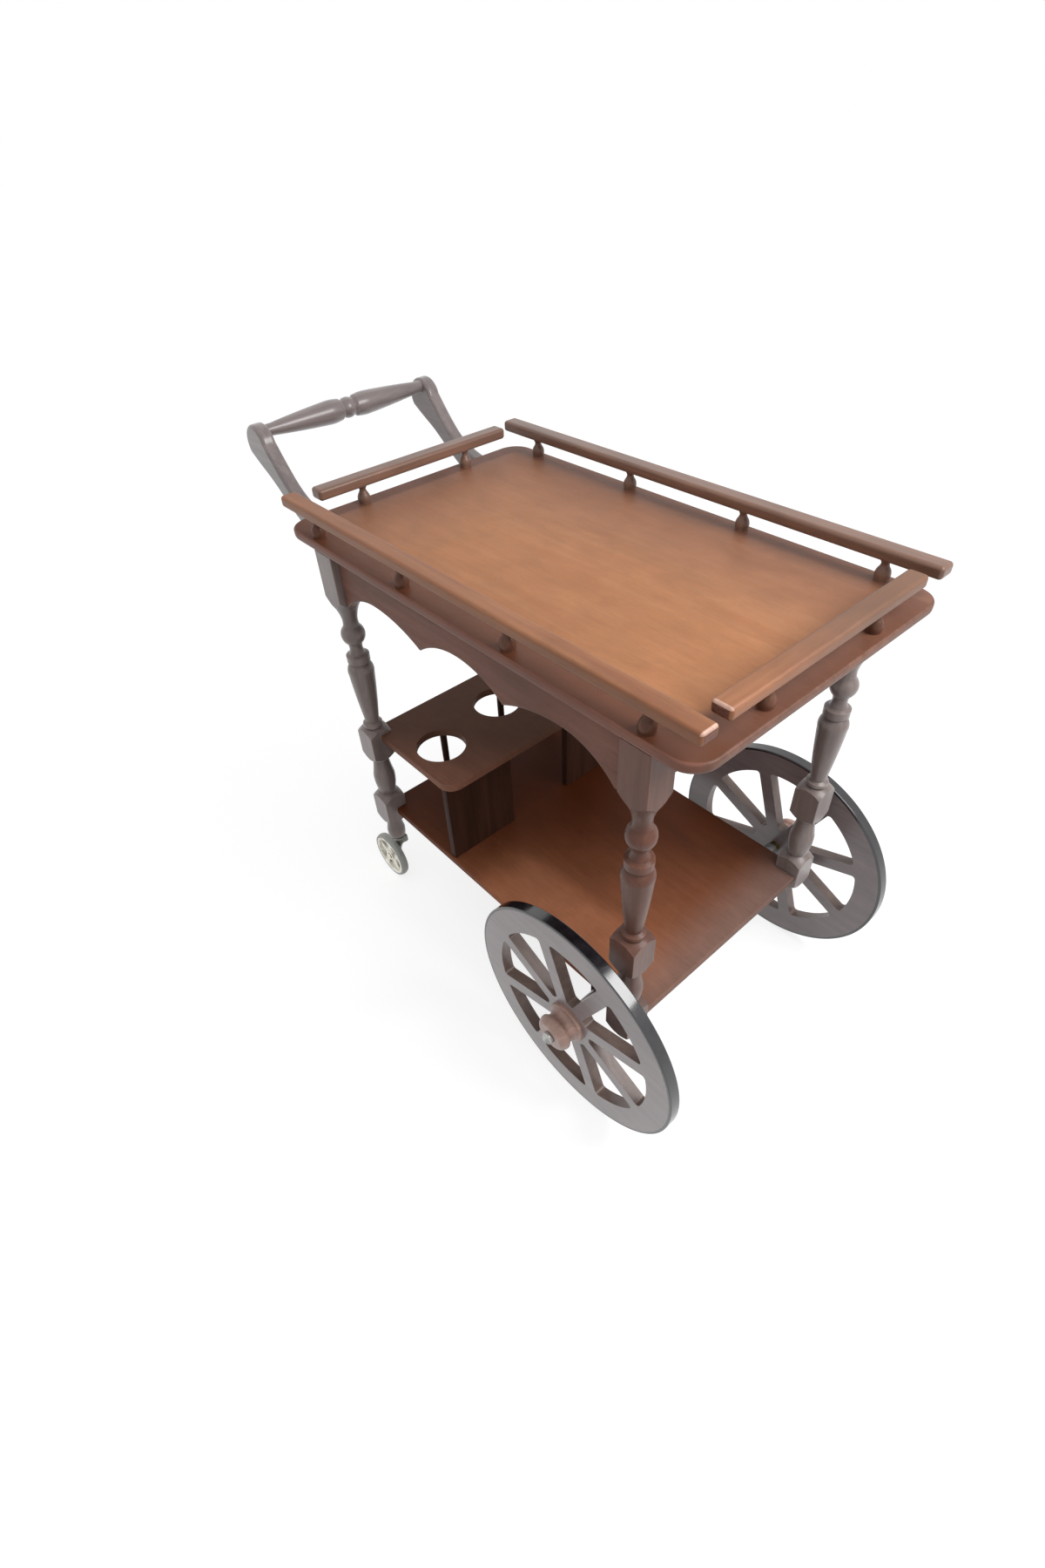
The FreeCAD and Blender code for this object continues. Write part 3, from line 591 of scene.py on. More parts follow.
def three_point_arc(start: Flat, through: Flat, end: Flat, count: int = 10) -> list[Flat]:
    """Points along the arc through three points.

    Args:
        start: First point.
        through: A point on the arc.
        end: Last point.
        count: Number of steps.

    Returns:
        The points, both ends included.
    """
    a, b, c = Vector(start), Vector(through), Vector(end)
    p, q = b - a, c - a
    cross = 2.0 * (p.x * q.y - p.y * q.x)
    if abs(cross) < STRAIGHT:
        return [tuple(a.lerp(c, i / count)) for i in range(count + 1)]
    pp, qq = p.length_squared, q.length_squared
    centre = a + Vector(((q.y * pp - p.y * qq) / cross, (p.x * qq - q.x * pp) / cross))
    radius = (a - centre).length
    first = math.atan2(a.y - centre.y, a.x - centre.x)
    way = 1.0 if cross > 0.0 else -1.0
    sweep = (way * (math.atan2(c.y - centre.y, c.x - centre.x) - first)) % math.tau
    turns = [first + way * sweep * i / count for i in range(count + 1)]
    return [(centre.x + radius * math.cos(t), centre.y + radius * math.sin(t)) for t in turns]


def polar(radius: float, degrees: float) -> Flat:
    """Point at a radius and an angle."""
    return radius * math.cos(math.radians(degrees)), radius * math.sin(math.radians(degrees))


def circle_arc(centre: Flat, radius: float, first: float, last: float, count: int) -> list[Flat]:
    """Points along a circle between two angles in degrees.

    Args:
        centre: Centre of the circle.
        radius: Its radius.
        first: Angle of the first point.
        last: Angle of the last point.
        count: Number of steps.

    Returns:
        The points, both ends included.
    """
    ways = [polar(radius, first + (last - first) * i / count) for i in range(count + 1)]
    return [(centre[0] + x, centre[1] + y) for x, y in ways]


def smooth_line(knots: Sequence[Flat], steps: int = 7) -> list[Flat]:
    """Points along a natural cubic curve through knots.

    Args:
        knots: Points the curve passes through.
        steps: Steps between two knots.

    Returns:
        The points, both ends included.
    """
    points = numpy.array(knots, float)
    gaps = numpy.linalg.norm(numpy.diff(points, axis=0), axis=1)
    count = len(points)
    matrix = numpy.zeros((count, count))
    right = numpy.zeros((count, 2))
    matrix[0, 0] = matrix[-1, -1] = 1.0
    for i in range(1, count - 1):
        matrix[i, i - 1:i + 2] = gaps[i - 1], 2.0 * (gaps[i - 1] + gaps[i]), gaps[i]
        right[i] = 6.0 * ((points[i + 1] - points[i]) / gaps[i] - (points[i] - points[i - 1]) / gaps[i - 1])
    bend = numpy.linalg.solve(matrix, right)
    line: list[Flat] = [tuple(points[0])]
    for i in range(count - 1):
        for step in range(1, steps + 1):
            t = gaps[i] * step / steps
            rest = gaps[i] - t
            place = (bend[i] * rest ** 3 + bend[i + 1] * t ** 3) / (6.0 * gaps[i])
            place = place + (points[i] / gaps[i] - bend[i] * gaps[i] / 6.0) * rest
            place = place + (points[i + 1] / gaps[i] - bend[i + 1] * gaps[i] / 6.0) * t
            line.append((float(place[0]), float(place[1])))
    return line


def run_line(runs: Runs, count: int = 9) -> list[Flat]:
    """Points along runs that are lines of two points or arcs of three.

    Args:
        runs: The runs, each starting where the last one ends.
        count: Steps on an arc.

    Returns:
        The points with no point twice in a row.
    """
    points: list[Flat] = []
    for run in runs:
        piece = list(run) if len(run) == 2 else three_point_arc(*run, count)
        points.extend(piece if not points else piece[1:])
    return points


def rounded_rectangle(low: Flat, high: Flat, radii: Sequence[float], count: int) -> list[Flat]:
    """Outline of a rectangle with rounded corners.

    Args:
        low: Lowest corner.
        high: Highest corner.
        radii: Radius at low-low, high-low, high-high and low-high; 0 leaves a sharp corner.
        count: Steps on a corner.

    Returns:
        The points, anticlockwise.
    """
    corners = ((low[0], low[1], 1, 1, 180.0), (high[0], low[1], -1, 1, 270.0),
               (high[0], high[1], -1, -1, 0.0), (low[0], high[1], 1, -1, 90.0))
    points: list[Flat] = []
    for (x, y, right, up, first), radius in zip(corners, radii):
        if radius > 0.0:
            middle = (x + right * radius, y + up * radius)
            points.extend(circle_arc(middle, radius, first, first + 90.0, count))
        else:
            points.append((x, y))
    return points


def tube_line(bore: float, outer: float, first: float, last: float, lip: float) -> list[Flat]:
    """Section of a tube, or of a bar where the bore is 0, with chamfered outer edges.

    Args:
        bore: Inner radius.
        outer: Outer radius.
        first: Start along the axis.
        last: End along the axis.
        lip: Width of the chamfers.

    Returns:
        Radius and distance along the axis.
    """
    return [(bore, first), (outer - lip, first), (outer, first + lip),
            (outer, last - lip), (outer - lip, last), (bore, last)]


def swung(outline: Sequence[Flat], centre: Vector, across: float, angle: float) -> list[Vector]:
    """Outline in a wheel's plane, swung round the wheel's axis.

    Args:
        outline: Points about the axis.
        centre: Middle of the wheel.
        across: Y of the plane.
        angle: Turn in radians.

    Returns:
        Points in the frame.
    """
    cos, sin = math.cos(angle), math.sin(angle)
    return [Vector((centre.x + u * cos - w * sin, across, centre.z + u * sin + w * cos))
            for u, w in outline]


# Bench work


def measured(node: str) -> tuple[Vector, Vector, Vector, Vector]:
    """Measure a solid of the frame.

    Args:
        node: Name of the solid.

    Returns:
        Its lowest corner, highest corner, middle and half size.
    """
    low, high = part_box(node)
    return low, high, (low + high) / 2.0, (high - low) / 2.0


def put_down() -> None:
    """Leave edit mode and deselect everything."""
    if bpy.context.object is not None and bpy.context.object.mode != "OBJECT":
        bpy.ops.object.mode_set(mode="OBJECT")
    bpy.ops.object.select_all(action="DESELECT")


def pick(obj: Piece) -> None:
    """Leave edit mode and make one object the only one selected."""
    put_down()
    obj.select_set(True)
    bpy.context.view_layer.objects.active = obj


def named(name: str) -> Piece:
    """Name the object just added and put its place into its mesh.

    Args:
        name: Name of the piece.

    Returns:
        The object.
    """
    obj = bpy.context.object
    obj.name = obj.data.name = name
    bpy.ops.object.transform_apply(location=True, rotation=True, scale=True)
    return obj


def trace(name: str, points: Sequence[Vector], closed: bool) -> Piece:
    """Draw a line of edges: a plane shrunk to one corner and drawn out from point to point.

    Args:
        name: Name of the piece.
        points: Points in the frame.
        closed: True where the line comes back to its start.

    Returns:
        The object, in edit mode with everything selected.
    """
    put_down()
    bpy.ops.mesh.primitive_plane_add(size=SEED, location=points[0])
    obj = named(name)
    bpy.ops.object.mode_set(mode="EDIT")
    bpy.ops.mesh.select_mode(type="VERT")
    bpy.ops.mesh.select_all(action="SELECT")
    bpy.ops.mesh.merge(type="CENTER")
    route = list(points) + ([points[0]] if closed else [])
    for here, there in zip(route, route[1:]):
        bpy.ops.mesh.extrude_vertices_move(TRANSFORM_OT_translate={"value": there - here})
    bpy.ops.mesh.select_all(action="SELECT")
    bpy.ops.mesh.remove_doubles(threshold=TIGHT)
    bpy.ops.mesh.select_all(action="SELECT")
    return obj


def close_up(obj: Piece) -> Piece:
    """Merge doubles, turn every face outwards and leave edit mode.

    Args:
        obj: Object in edit mode.

    Returns:
        The same object.
    """
    bpy.ops.mesh.select_all(action="SELECT")
    bpy.ops.mesh.remove_doubles(threshold=TIGHT)
    bpy.ops.mesh.normals_make_consistent(inside=False)
    bpy.ops.object.mode_set(mode="OBJECT")
    return obj


def slab(name: str, outline: Sequence[Vector], depth: Vector) -> Piece:
    """Board of an even thickness, sawn to an outline.

    Args:
        name: Name of the piece.
        outline: Points round one face.
        depth: Way and distance to the other face.

    Returns:
        The object.
    """
    obj = trace(name, outline, True)
    bpy.ops.mesh.edge_face_add()
    bpy.ops.mesh.extrude_region_move(TRANSFORM_OT_translate={"value": depth})
    return close_up(obj)


def flat_slab(name: str, outline: Sequence[Flat], low: float, high: float) -> Piece:
    """Level board between two heights, sawn to an outline in X and Y."""
    return slab(name, [Vector((x, y, low)) for x, y in outline], Vector((0.0, 0.0, high - low)))


def upright_slab(name: str, outline: Sequence[Flat], first: float, depth: float) -> Piece:
    """Board on edge from one place across the trolley, sawn to an outline in X and Z."""
    return slab(name, [Vector((x, first, z)) for x, z in outline], Vector((0.0, depth, 0.0)))


def turn(name: str, profile: Sequence[Flat], centre: Vector, axis: Vector, steps: int = 40,
         ring: bool = False) -> Piece:
    """Piece turned on a lathe.

    Args:
        name: Name of the piece.
        profile: Radius and distance along the axis, from one end to the other.
        centre: Point that distances are counted from.
        axis: Unit vector along the axis.
        steps: Flats round the piece.
        ring: True where the profile is the closed section of a ring.

    Returns:
        The object.
    """
    aside = axis.orthogonal().normalized()
    obj = trace(name, [centre + axis * along + aside * radius for radius, along in profile], ring)
    bpy.ops.mesh.spin(steps=steps, angle=math.tau, center=centre, axis=axis)
    return close_up(obj)


def block(name: str, low: Vector, high: Vector) -> Piece:
    """Squared blank between two corners.

    Args:
        name: Name of the piece.
        low: Lowest corner.
        high: Highest corner.

    Returns:
        The object.
    """
    put_down()
    bpy.ops.mesh.primitive_cube_add(size=1.0, location=(low + high) / 2.0, scale=high - low)
    return named(name)


def apply_modifier(obj: Piece, kind: str, **settings: object) -> None:
    """Add a modifier, set it and apply it.

    Args:
        obj: Object that is changed.
        kind: Blender's name for the modifier type.
        settings: Properties of the modifier.
    """
    pick(obj)
    modifier = obj.modifiers.new(kind.lower(), kind)
    for key, value in settings.items():
        setattr(modifier, key, value)
    bpy.ops.object.modifier_apply(modifier=modifier.name)


def work(obj: Piece, tool: Piece, cut: Cut) -> None:
    """Let one solid work on another and put it away.

    Args:
        obj: Solid that stays.
        tool: Solid that is used up.
        cut: What is kept.
    """
    apply_modifier(obj, "BOOLEAN", operation=cut.value, solver="EXACT", object=tool)
    bpy.data.objects.remove(tool)


def drill(obj: Piece, centre: Vector, axis: Vector, radius: float, reach: Flat, steps: int = 40) -> None:
    """Drill a round hole right through a piece.

    Args:
        obj: Piece that is drilled.
        centre: Point on the hole's axis that distances are counted from.
        axis: Unit vector along the axis.
        radius: Radius of the hole.
        reach: Where the wood starts and ends along the axis.
        steps: Flats round the hole.
    """
    first, last = reach[0] - TOOL_PAST, reach[1] + TOOL_PAST
    edge = [(0.0, first), (radius, first), (radius, last), (0.0, last)]
    work(obj, turn("drill", edge, centre, axis, steps), Cut.AWAY)


def ease(obj: Piece, width: float, keep: Callable[[Vector, Vector], bool], segments: int = 3) -> None:
    """Round chosen edges with the bevel tool.

    Args:
        obj: Object that is changed.
        width: Width of the bevel.
        keep: Says whether an edge, given by its two ends, is rounded.
        segments: Facets across the bevel.
    """
    pick(obj)
    bpy.ops.object.mode_set(mode="EDIT")
    bpy.ops.mesh.select_mode(type="EDGE")
    bpy.ops.mesh.select_all(action="DESELECT")
    mesh = bmesh.from_edit_mesh(obj.data)
    for edge in mesh.edges:
        edge.select_set(keep(edge.verts[0].co, edge.verts[1].co))
    bmesh.update_edit_mesh(obj.data)
    bpy.ops.mesh.bevel(offset=width, segments=segments, profile=0.5, affect="EDGES", clamp_overlap=True,
                       material=1)
    bpy.ops.object.mode_set(mode="OBJECT")


def ease_all(obj: Piece, width: float, segments: int = 3, angle: float = 40.0) -> None:
    """Round every edge sharper than an angle.

    Args:
        obj: Object that is changed.
        width: Width of the bevel.
        segments: Facets across the bevel.
        angle: Sharpest angle in degrees that is left alone.
    """
    apply_modifier(obj, "BEVEL", width=width, segments=segments, limit_method="ANGLE",
                   angle_limit=math.radians(angle), material=1, use_clamp_overlap=True)


def copied(obj: Piece, name: str, move: Vector | None = None) -> Piece:
    """Copy a piece with a mesh of its own, moved, or else mirrored to the other side of the trolley.

    Args:
        obj: Piece that is copied.
        name: Name of the copy.
        move: Distance from the first piece.

    Returns:
        The copy.
    """
    pick(obj)
    bpy.ops.object.duplicate(linked=False)
    twin = bpy.context.object
    twin.name = twin.data.name = name
    bpy.ops.object.mode_set(mode="EDIT")
    bpy.ops.mesh.select_all(action="SELECT")
    if move is None:
        bpy.ops.transform.resize(value=(1.0, -1.0, 1.0), center_override=(0.0, 0.0, 0.0))
        bpy.ops.mesh.normals_make_consistent(inside=False)
    else:
        bpy.ops.transform.translate(value=move)
    bpy.ops.object.mode_set(mode="OBJECT")
    return twin


def coat(obj: Piece, *finishes: Material) -> None:
    """Give a piece its finishes: the face, the arrises and, where there are three, the cut ends.

    Args:
        obj: Piece that is dressed.
        finishes: Materials in slot order.
    """
    obj.data.materials.clear()
    for finish in finishes:
        obj.data.materials.append(finish)


def set_in(obj: Piece, body: str, node: str, angle: float = 38.0) -> None:
    """Smooth a finished piece and set it in the frame.

    Args:
        obj: Finished piece.
        body: Body it moves with.
        node: Solid of the frame that it stands for.
        angle: Edges sharper than this many degrees stay crisp.
    """
    pick(obj)
    bpy.ops.object.shade_smooth_by_angle(angle=math.radians(angle))
    apply_modifier(obj, "WEIGHTED_NORMAL", keep_sharp=True)
    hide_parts(node)
    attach(obj, body)
    LOG.info("%s: %d faces on %s", obj.name, len(obj.data.polygons), body)


def set_pair(right: Piece, body: str, node: str) -> None:
    """Mirror a finished right piece and set both in the frame.

    Args:
        right: Piece of the right side.
        body: Body they move with, or the start of its name where each side has its own.
        node: Start of the names of the solids that they stand for.
    """
    left = copied(right, right.name.replace(Side.RIGHT.value, Side.LEFT.value))
    for piece, side in ((right, Side.RIGHT), (left, Side.LEFT)):
        set_in(piece, body if body == CARCASS else body + side.value, node + side.value)


# Tray and gallery


@dataclass
class TrayTop:
    """Veneered tray board with rounded corners and a moulded edge."""

    corner_radius: float = 0.033
    corner_steps: int = 14
    top_ease: float = 0.003
    under_ease: float = 0.007
    top_slope: float = 0.5

    def build(self) -> None:
        """Saw the board, mould its edge and stain all but its top like the edge."""
        low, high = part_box("top_board")
        outline = rounded_rectangle((low.x, low.y), (high.x, high.y), [self.corner_radius] * 4,
                                    self.corner_steps)
        board = flat_slab("tray_board", outline, low.z, high.z)
        coat(board, TRAY_VENEER.make(Grain.LENGTHWISE), EDGE_WOOD.make(Grain.LENGTHWISE))
        ease(board, self.top_ease, lambda a, b: min(a.z, b.z) > high.z - TIGHT, segments=4)
        for face in board.data.polygons:
            if face.normal.z < self.top_slope:
                face.material_index = 1
        ease(board, self.under_ease, lambda a, b: max(a.z, b.z) < low.z + TIGHT, segments=5)
        set_in(board, CARCASS, "top_board")


@dataclass
class Gallery:
    """Four rails round the tray on twelve little turned posts."""

    rail_ease: float = 0.0048
    post_count: int = 12
    post_steps: int = 32
    foot_radius: float = 0.0088
    bell_radius: float = 0.0095
    neck_radius: float = 0.0048
    head_radius: float = 0.0065
    seat: float = 0.0005
    highlight_slope: float = 0.4
    end_slope: float = 0.94

    def rail(self, end: str, grain: Grain) -> None:
        """Square rail with eased arrises, cut ends and a painted highlight on the upper arris at its open
        end.

        Args:
            end: Side or end of the tray.
            grain: Way the rail runs.
        """
        node = "gallery_rail_" + end
        rail = block("rail_" + end, *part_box(node))
        # The far and rear rails take the stain painted darker as shade of the far side
        greyed = end in ("left", "rear")
        wood = (SHADED_RAIL if greyed else RAIL_WOOD).make(grain)
        coat(rail, wood, HIGHLIGHT_ARRIS.make(grain), wood if greyed else END_GRAIN.make(grain))
        ease_all(rail, self.rail_ease, segments=5)
        out = 1.0 if end == "right" else -1.0
        for face in rail.data.polygons:
            along = face.normal[grain.value]
            # A pale painted highlight on the upper arris at the rail's open end
            highlit = out * along > self.highlight_slope and face.normal.z > self.highlight_slope
            if abs(along) > self.end_slope:
                face.material_index = 2
            elif greyed or not highlit:
                face.material_index = 0
        set_in(rail, CARCASS, node)

    def profile(self, height: float) -> list[Flat]:
        """Outline of a post: a broad bell, a narrow neck and a small flare under the rail.

        Args:
            height: Height of the post.

        Returns:
            Radius and height from the tray.
        """
        foot, bell, neck, head = self.foot_radius, self.bell_radius, self.neck_radius, self.head_radius
        waist = ((bell + neck) / 2.0, 0.55 * height)
        line = run_line((
            ((foot, 0.0), (foot, 0.06 * height)),
            ((foot, 0.06 * height), (bell, 0.22 * height), waist),
            (waist, (1.08 * neck, 0.69 * height), (neck, 0.80 * height)),
            ((neck, 0.80 * height), (head, 0.92 * height)),
            ((head, 0.92 * height), (head, height))), count=8)
        top = height + self.seat
        return [(0.0, -self.seat), (foot, -self.seat)] + line + [(head, top), (0.0, top)]

    def greyed(self, node: str) -> bool:
        """True for a post that stands under the far or the rear rail, which is painted darker as shade.

        Args:
            node: Post of the frame.
        """
        centre = measured(node)[2]
        rear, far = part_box("gallery_rail_rear")[1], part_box("gallery_rail_left")[0]
        return centre.y > far.y or (centre.x < rear.x and centre.y > -far.y)

    def posts(self) -> None:
        """Turn one post and copy it to the others."""
        numbers = [f"{number:02d}" for number in range(1, self.post_count + 1)]
        floor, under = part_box("top_board")[1].z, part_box("gallery_rail_right")[0].z
        places = [measured("gallery_spindle_" + number)[2] for number in numbers]
        first = Vector((places[0].x, places[0].y, floor))
        made = [turn("post_01", self.profile(under - floor), first, UP, self.post_steps)]
        coat(made[0], POST_WOOD.make(Grain.UPRIGHT))
        for number, place in zip(numbers[1:], places[1:]):
            move = Vector((place.x - first.x, place.y - first.y, 0.0))
            made.append(copied(made[0], "post_" + number, move))
        for number, post in zip(numbers, made):
            node = "gallery_spindle_" + number
            # Posts under the far and rear rails take the rails' stain painted darker as shade
            if self.greyed(node):
                coat(post, SHADED_RAIL.make(Grain.UPRIGHT))
            set_in(post, CARCASS, node, angle=50.0)

    def build(self) -> None:
        """Plane the rails and turn the posts."""
        for end, grain in (("right", Grain.LENGTHWISE), ("left", Grain.LENGTHWISE),
                           ("front", Grain.CROSSWISE), ("rear", Grain.CROSSWISE)):
            self.rail(end, grain)
        self.posts()


# Legs and frieze


@dataclass
class TurnedLegs:
    """Four legs turned from square blanks that stay square where boards join them."""

    half: float = 0.02025
    arris: float = 0.0012
    past_corner: float = math.sqrt(2.0) + 0.05
    past_end: float = 0.001
    top_block: float = 0.068
    shelf_block_top: float = 0.378
    shelf_block_low: float = 0.338
    low_block_top: float = 0.232
    low_block_low: float = 0.192
    toe: float = 0.008
    toe_share: float = 1.03
    steps: int = 64

    def upper_runs(self) -> Runs:
        """Long turning under the top block: cove, bead, ring and tapered vase, as shares."""
        out = self.past_corner
        return [
            [(out, 0.0), (.93, .062), (.60, .138)], [(.60, .138), (.56, .172), (.62, .206)],
            [(.62, .206), (.90, .257), (.58, .317)], [(.58, .317), (.49, .353), (.62, .392)],
            [(.62, .392), (.87, .401)], [(.87, .401), (.87, .444)], [(.87, .444), (.72, .456)],
            [(.72, .456), (.91, .478), (.99, .532)], [(.99, .532), (.83, .698), (.54, .905)],
            [(.54, .905), (.77, .917)], [(.77, .917), (.77, .937)], [(.77, .937), (.62, .948)],
            [(.62, .948), (1.03, .964), (out, 1.0)]]

    def middle_runs(self) -> Runs:
        """Short turning between the two shelf blocks, as shares."""
        out = self.past_corner
        return [
            [(out, 0.0), (1.03, .085), (.64, .160)], [(.64, .160), (.73, .300), (.90, .480)],
            [(.90, .480), (.87, .660), (.64, .868)], [(.64, .868), (1.03, .915), (out, 1.0)]]

    def foot_runs(self) -> Runs:
        """Turned foot of a rear leg, as shares."""
        return [
            [(self.toe_share, 0.0), (.67, .128)], [(.67, .128), (.68, .340), (.79, .640)],
            [(.79, .640), (.79, .850), (.74, 1.0)]]

    def stretched(self, runs: Runs, high: float, low: float) -> list[Flat]:
        """Runs drawn out between two heights.

        Args:
            runs: Shares of the half width and of the run's length from its top.
            high: Height of the top.
            low: Height of the bottom.

        Returns:
            Radius and height along the turning.
        """
        real = [[(radius * self.half, high + share * (low - high)) for radius, share in run]
                for run in runs]
        return run_line(real, count=8)

    def leg(self, end: str) -> Piece:
        """One right leg: the square blank, kept only where the turning leaves wood.

        Args:
            end: End of the trolley; only the rear legs have a turned foot.

        Returns:
            The leg.
        """
        low, high, centre, _ = measured(f"leg_{end}_right")
        bottom, top = low.z, high.z
        blank = block(f"turned_leg_{end}_right",
                      Vector((centre.x - self.half, centre.y - self.half, bottom)),
                      Vector((centre.x + self.half, centre.y + self.half, top)))
        wood = TURNED_WOOD.make(Grain.UPRIGHT)
        coat(blank, wood, wood)
        ease(blank, self.arris, lambda a, b: abs(a.z - b.z) > TIGHT)
        out = self.past_corner * self.half
        line = [(0.0, top + self.past_end), (out, top + self.past_end)]
        line += self.stretched(self.upper_runs(), top - self.top_block, self.shelf_block_top)
        line += self.stretched(self.middle_runs(), self.shelf_block_low, self.low_block_top)
        line += [(out, self.low_block_low)]
        if end == "rear":
            line += self.stretched(self.foot_runs(), self.low_block_low - self.toe, bottom)
            line[-1] = (line[-1][0], bottom - self.past_end)
        else:
            line += [(self.toe_share * self.half, bottom)]
        line += [(0.0, line[-1][1])]
        shape = turn("leg_turning", line, Vector((centre.x, centre.y, 0.0)), UP, self.steps)
        coat(shape, wood)
        work(blank, shape, Cut.COMMON)
        return blank

    def build(self) -> None:
        """Turn a front and a rear leg, mirror both and paint all but the near front one grey as sheen."""
        # All legs but the near front one take the stain painted grey as the sheen of the pale surroundings
        greyed = SHEEN_PAINTED_TURNED.make(Grain.UPRIGHT)
        for end in ("front", "rear"):
            right = self.leg(end)
            left = copied(right, f"turned_leg_{end}_left")
            for piece in (left,) if end == "front" else (left, right):
                coat(piece, greyed, greyed)
            set_in(right, CARCASS, f"leg_{end}_right", angle=30.0)
            set_in(left, CARCASS, f"leg_{end}_left", angle=30.0)


@dataclass
class Frieze:
    """Scalloped side boards between the legs and plain rails across the ends."""

    end_depth: float = 0.082
    cusp_depth: float = 0.070
    centre_depth: float = 0.042
    side_depth: float = 0.046
    cusp_share: float = 0.2992
    side_peak_share: float = 0.6558
    foot_inset: float = 0.01325
    arris: float = 0.0016
    half_steps: int = 12
    foot_steps: int = 14

    def arch(self, low: Flat, peak: Flat, count: int) -> list[Flat]:
        """Quarter of an arch from its springing to its level peak.

        Args:
            low: Springing, as distance from the middle and depth.
            peak: Highest point.
            count: Number of steps.

        Returns:
            Points from springing to peak.
        """
        span, drop = low[0] - peak[0], low[1] - peak[1]
        radius = (span * span + drop * drop) / (2.0 * drop)
        places = [low[0] - span * i / count for i in range(count + 1)]
        return [(x, peak[1] + radius - math.sqrt(radius ** 2 - (x - peak[0]) ** 2)) for x in places]

    def scallop(self, first: float, last: float, middle: float, top: float) -> list[Flat]:
        """Outline of a side board seen from outside.

        Args:
            first: X of the rear end.
            last: X of the front end.
            middle: X of the scallop's centre.
            top: Height of the upper edge.

        Returns:
            Points in X and Z.
        """
        half = max(last - middle, middle - first)
        cusp = (self.cusp_share * half, self.cusp_depth)
        peak = (self.side_peak_share * half, self.side_depth)
        foot = (half - self.foot_inset, self.end_depth)
        steps = self.half_steps
        centre_arch = three_point_arc((-cusp[0], cusp[1]), (0.0, self.centre_depth), cusp, 2 * steps)
        rising = self.arch(cusp, peak, steps)
        falling = self.arch(foot, peak, self.foot_steps)[::-1]
        front = centre_arch[steps:] + rising[1:] + falling[1:] + [(half, self.end_depth)]
        whole = [(-x, depth) for x, depth in front[::-1]] + front[1:]
        line = [(middle + x, top - depth) for x, depth in whole]
        kept = [point for point in line if first <= point[0] <= last]
        before = [point for point in line if point[0] < first]
        if before:
            near = before[-1]
            share = (first - near[0]) / (kept[0][0] - near[0])
            kept.insert(0, (first, near[1] + share * (kept[0][1] - near[1])))
        return kept + [(last, top), (first, top)]

    def build(self) -> None:
        """Saw one side board, mirror it, and plane the end rails."""
        low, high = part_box("apron_right")
        outline = self.scallop(low.x, high.x, measured("top_board")[2].x, high.z)
        right = upright_slab("scallop_right", outline, low.y, high.y - low.y)
        coat(right, FRAME_WOOD.make(Grain.LENGTHWISE), DARK_ARRIS.make(Grain.LENGTHWISE))
        ease_all(right, self.arris, angle=SAWN_ANGLE)
        set_pair(right, CARCASS, "apron_")
        wood = RACK_WOOD.make(Grain.CROSSWISE)
        for end in ("front", "rear"):
            node = "end_rail_" + end
            rail = block("cross_rail_" + end, *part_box(node))
            coat(rail, wood, wood)
            ease_all(rail, self.arris)
            set_in(rail, CARCASS, node)


# Shelves


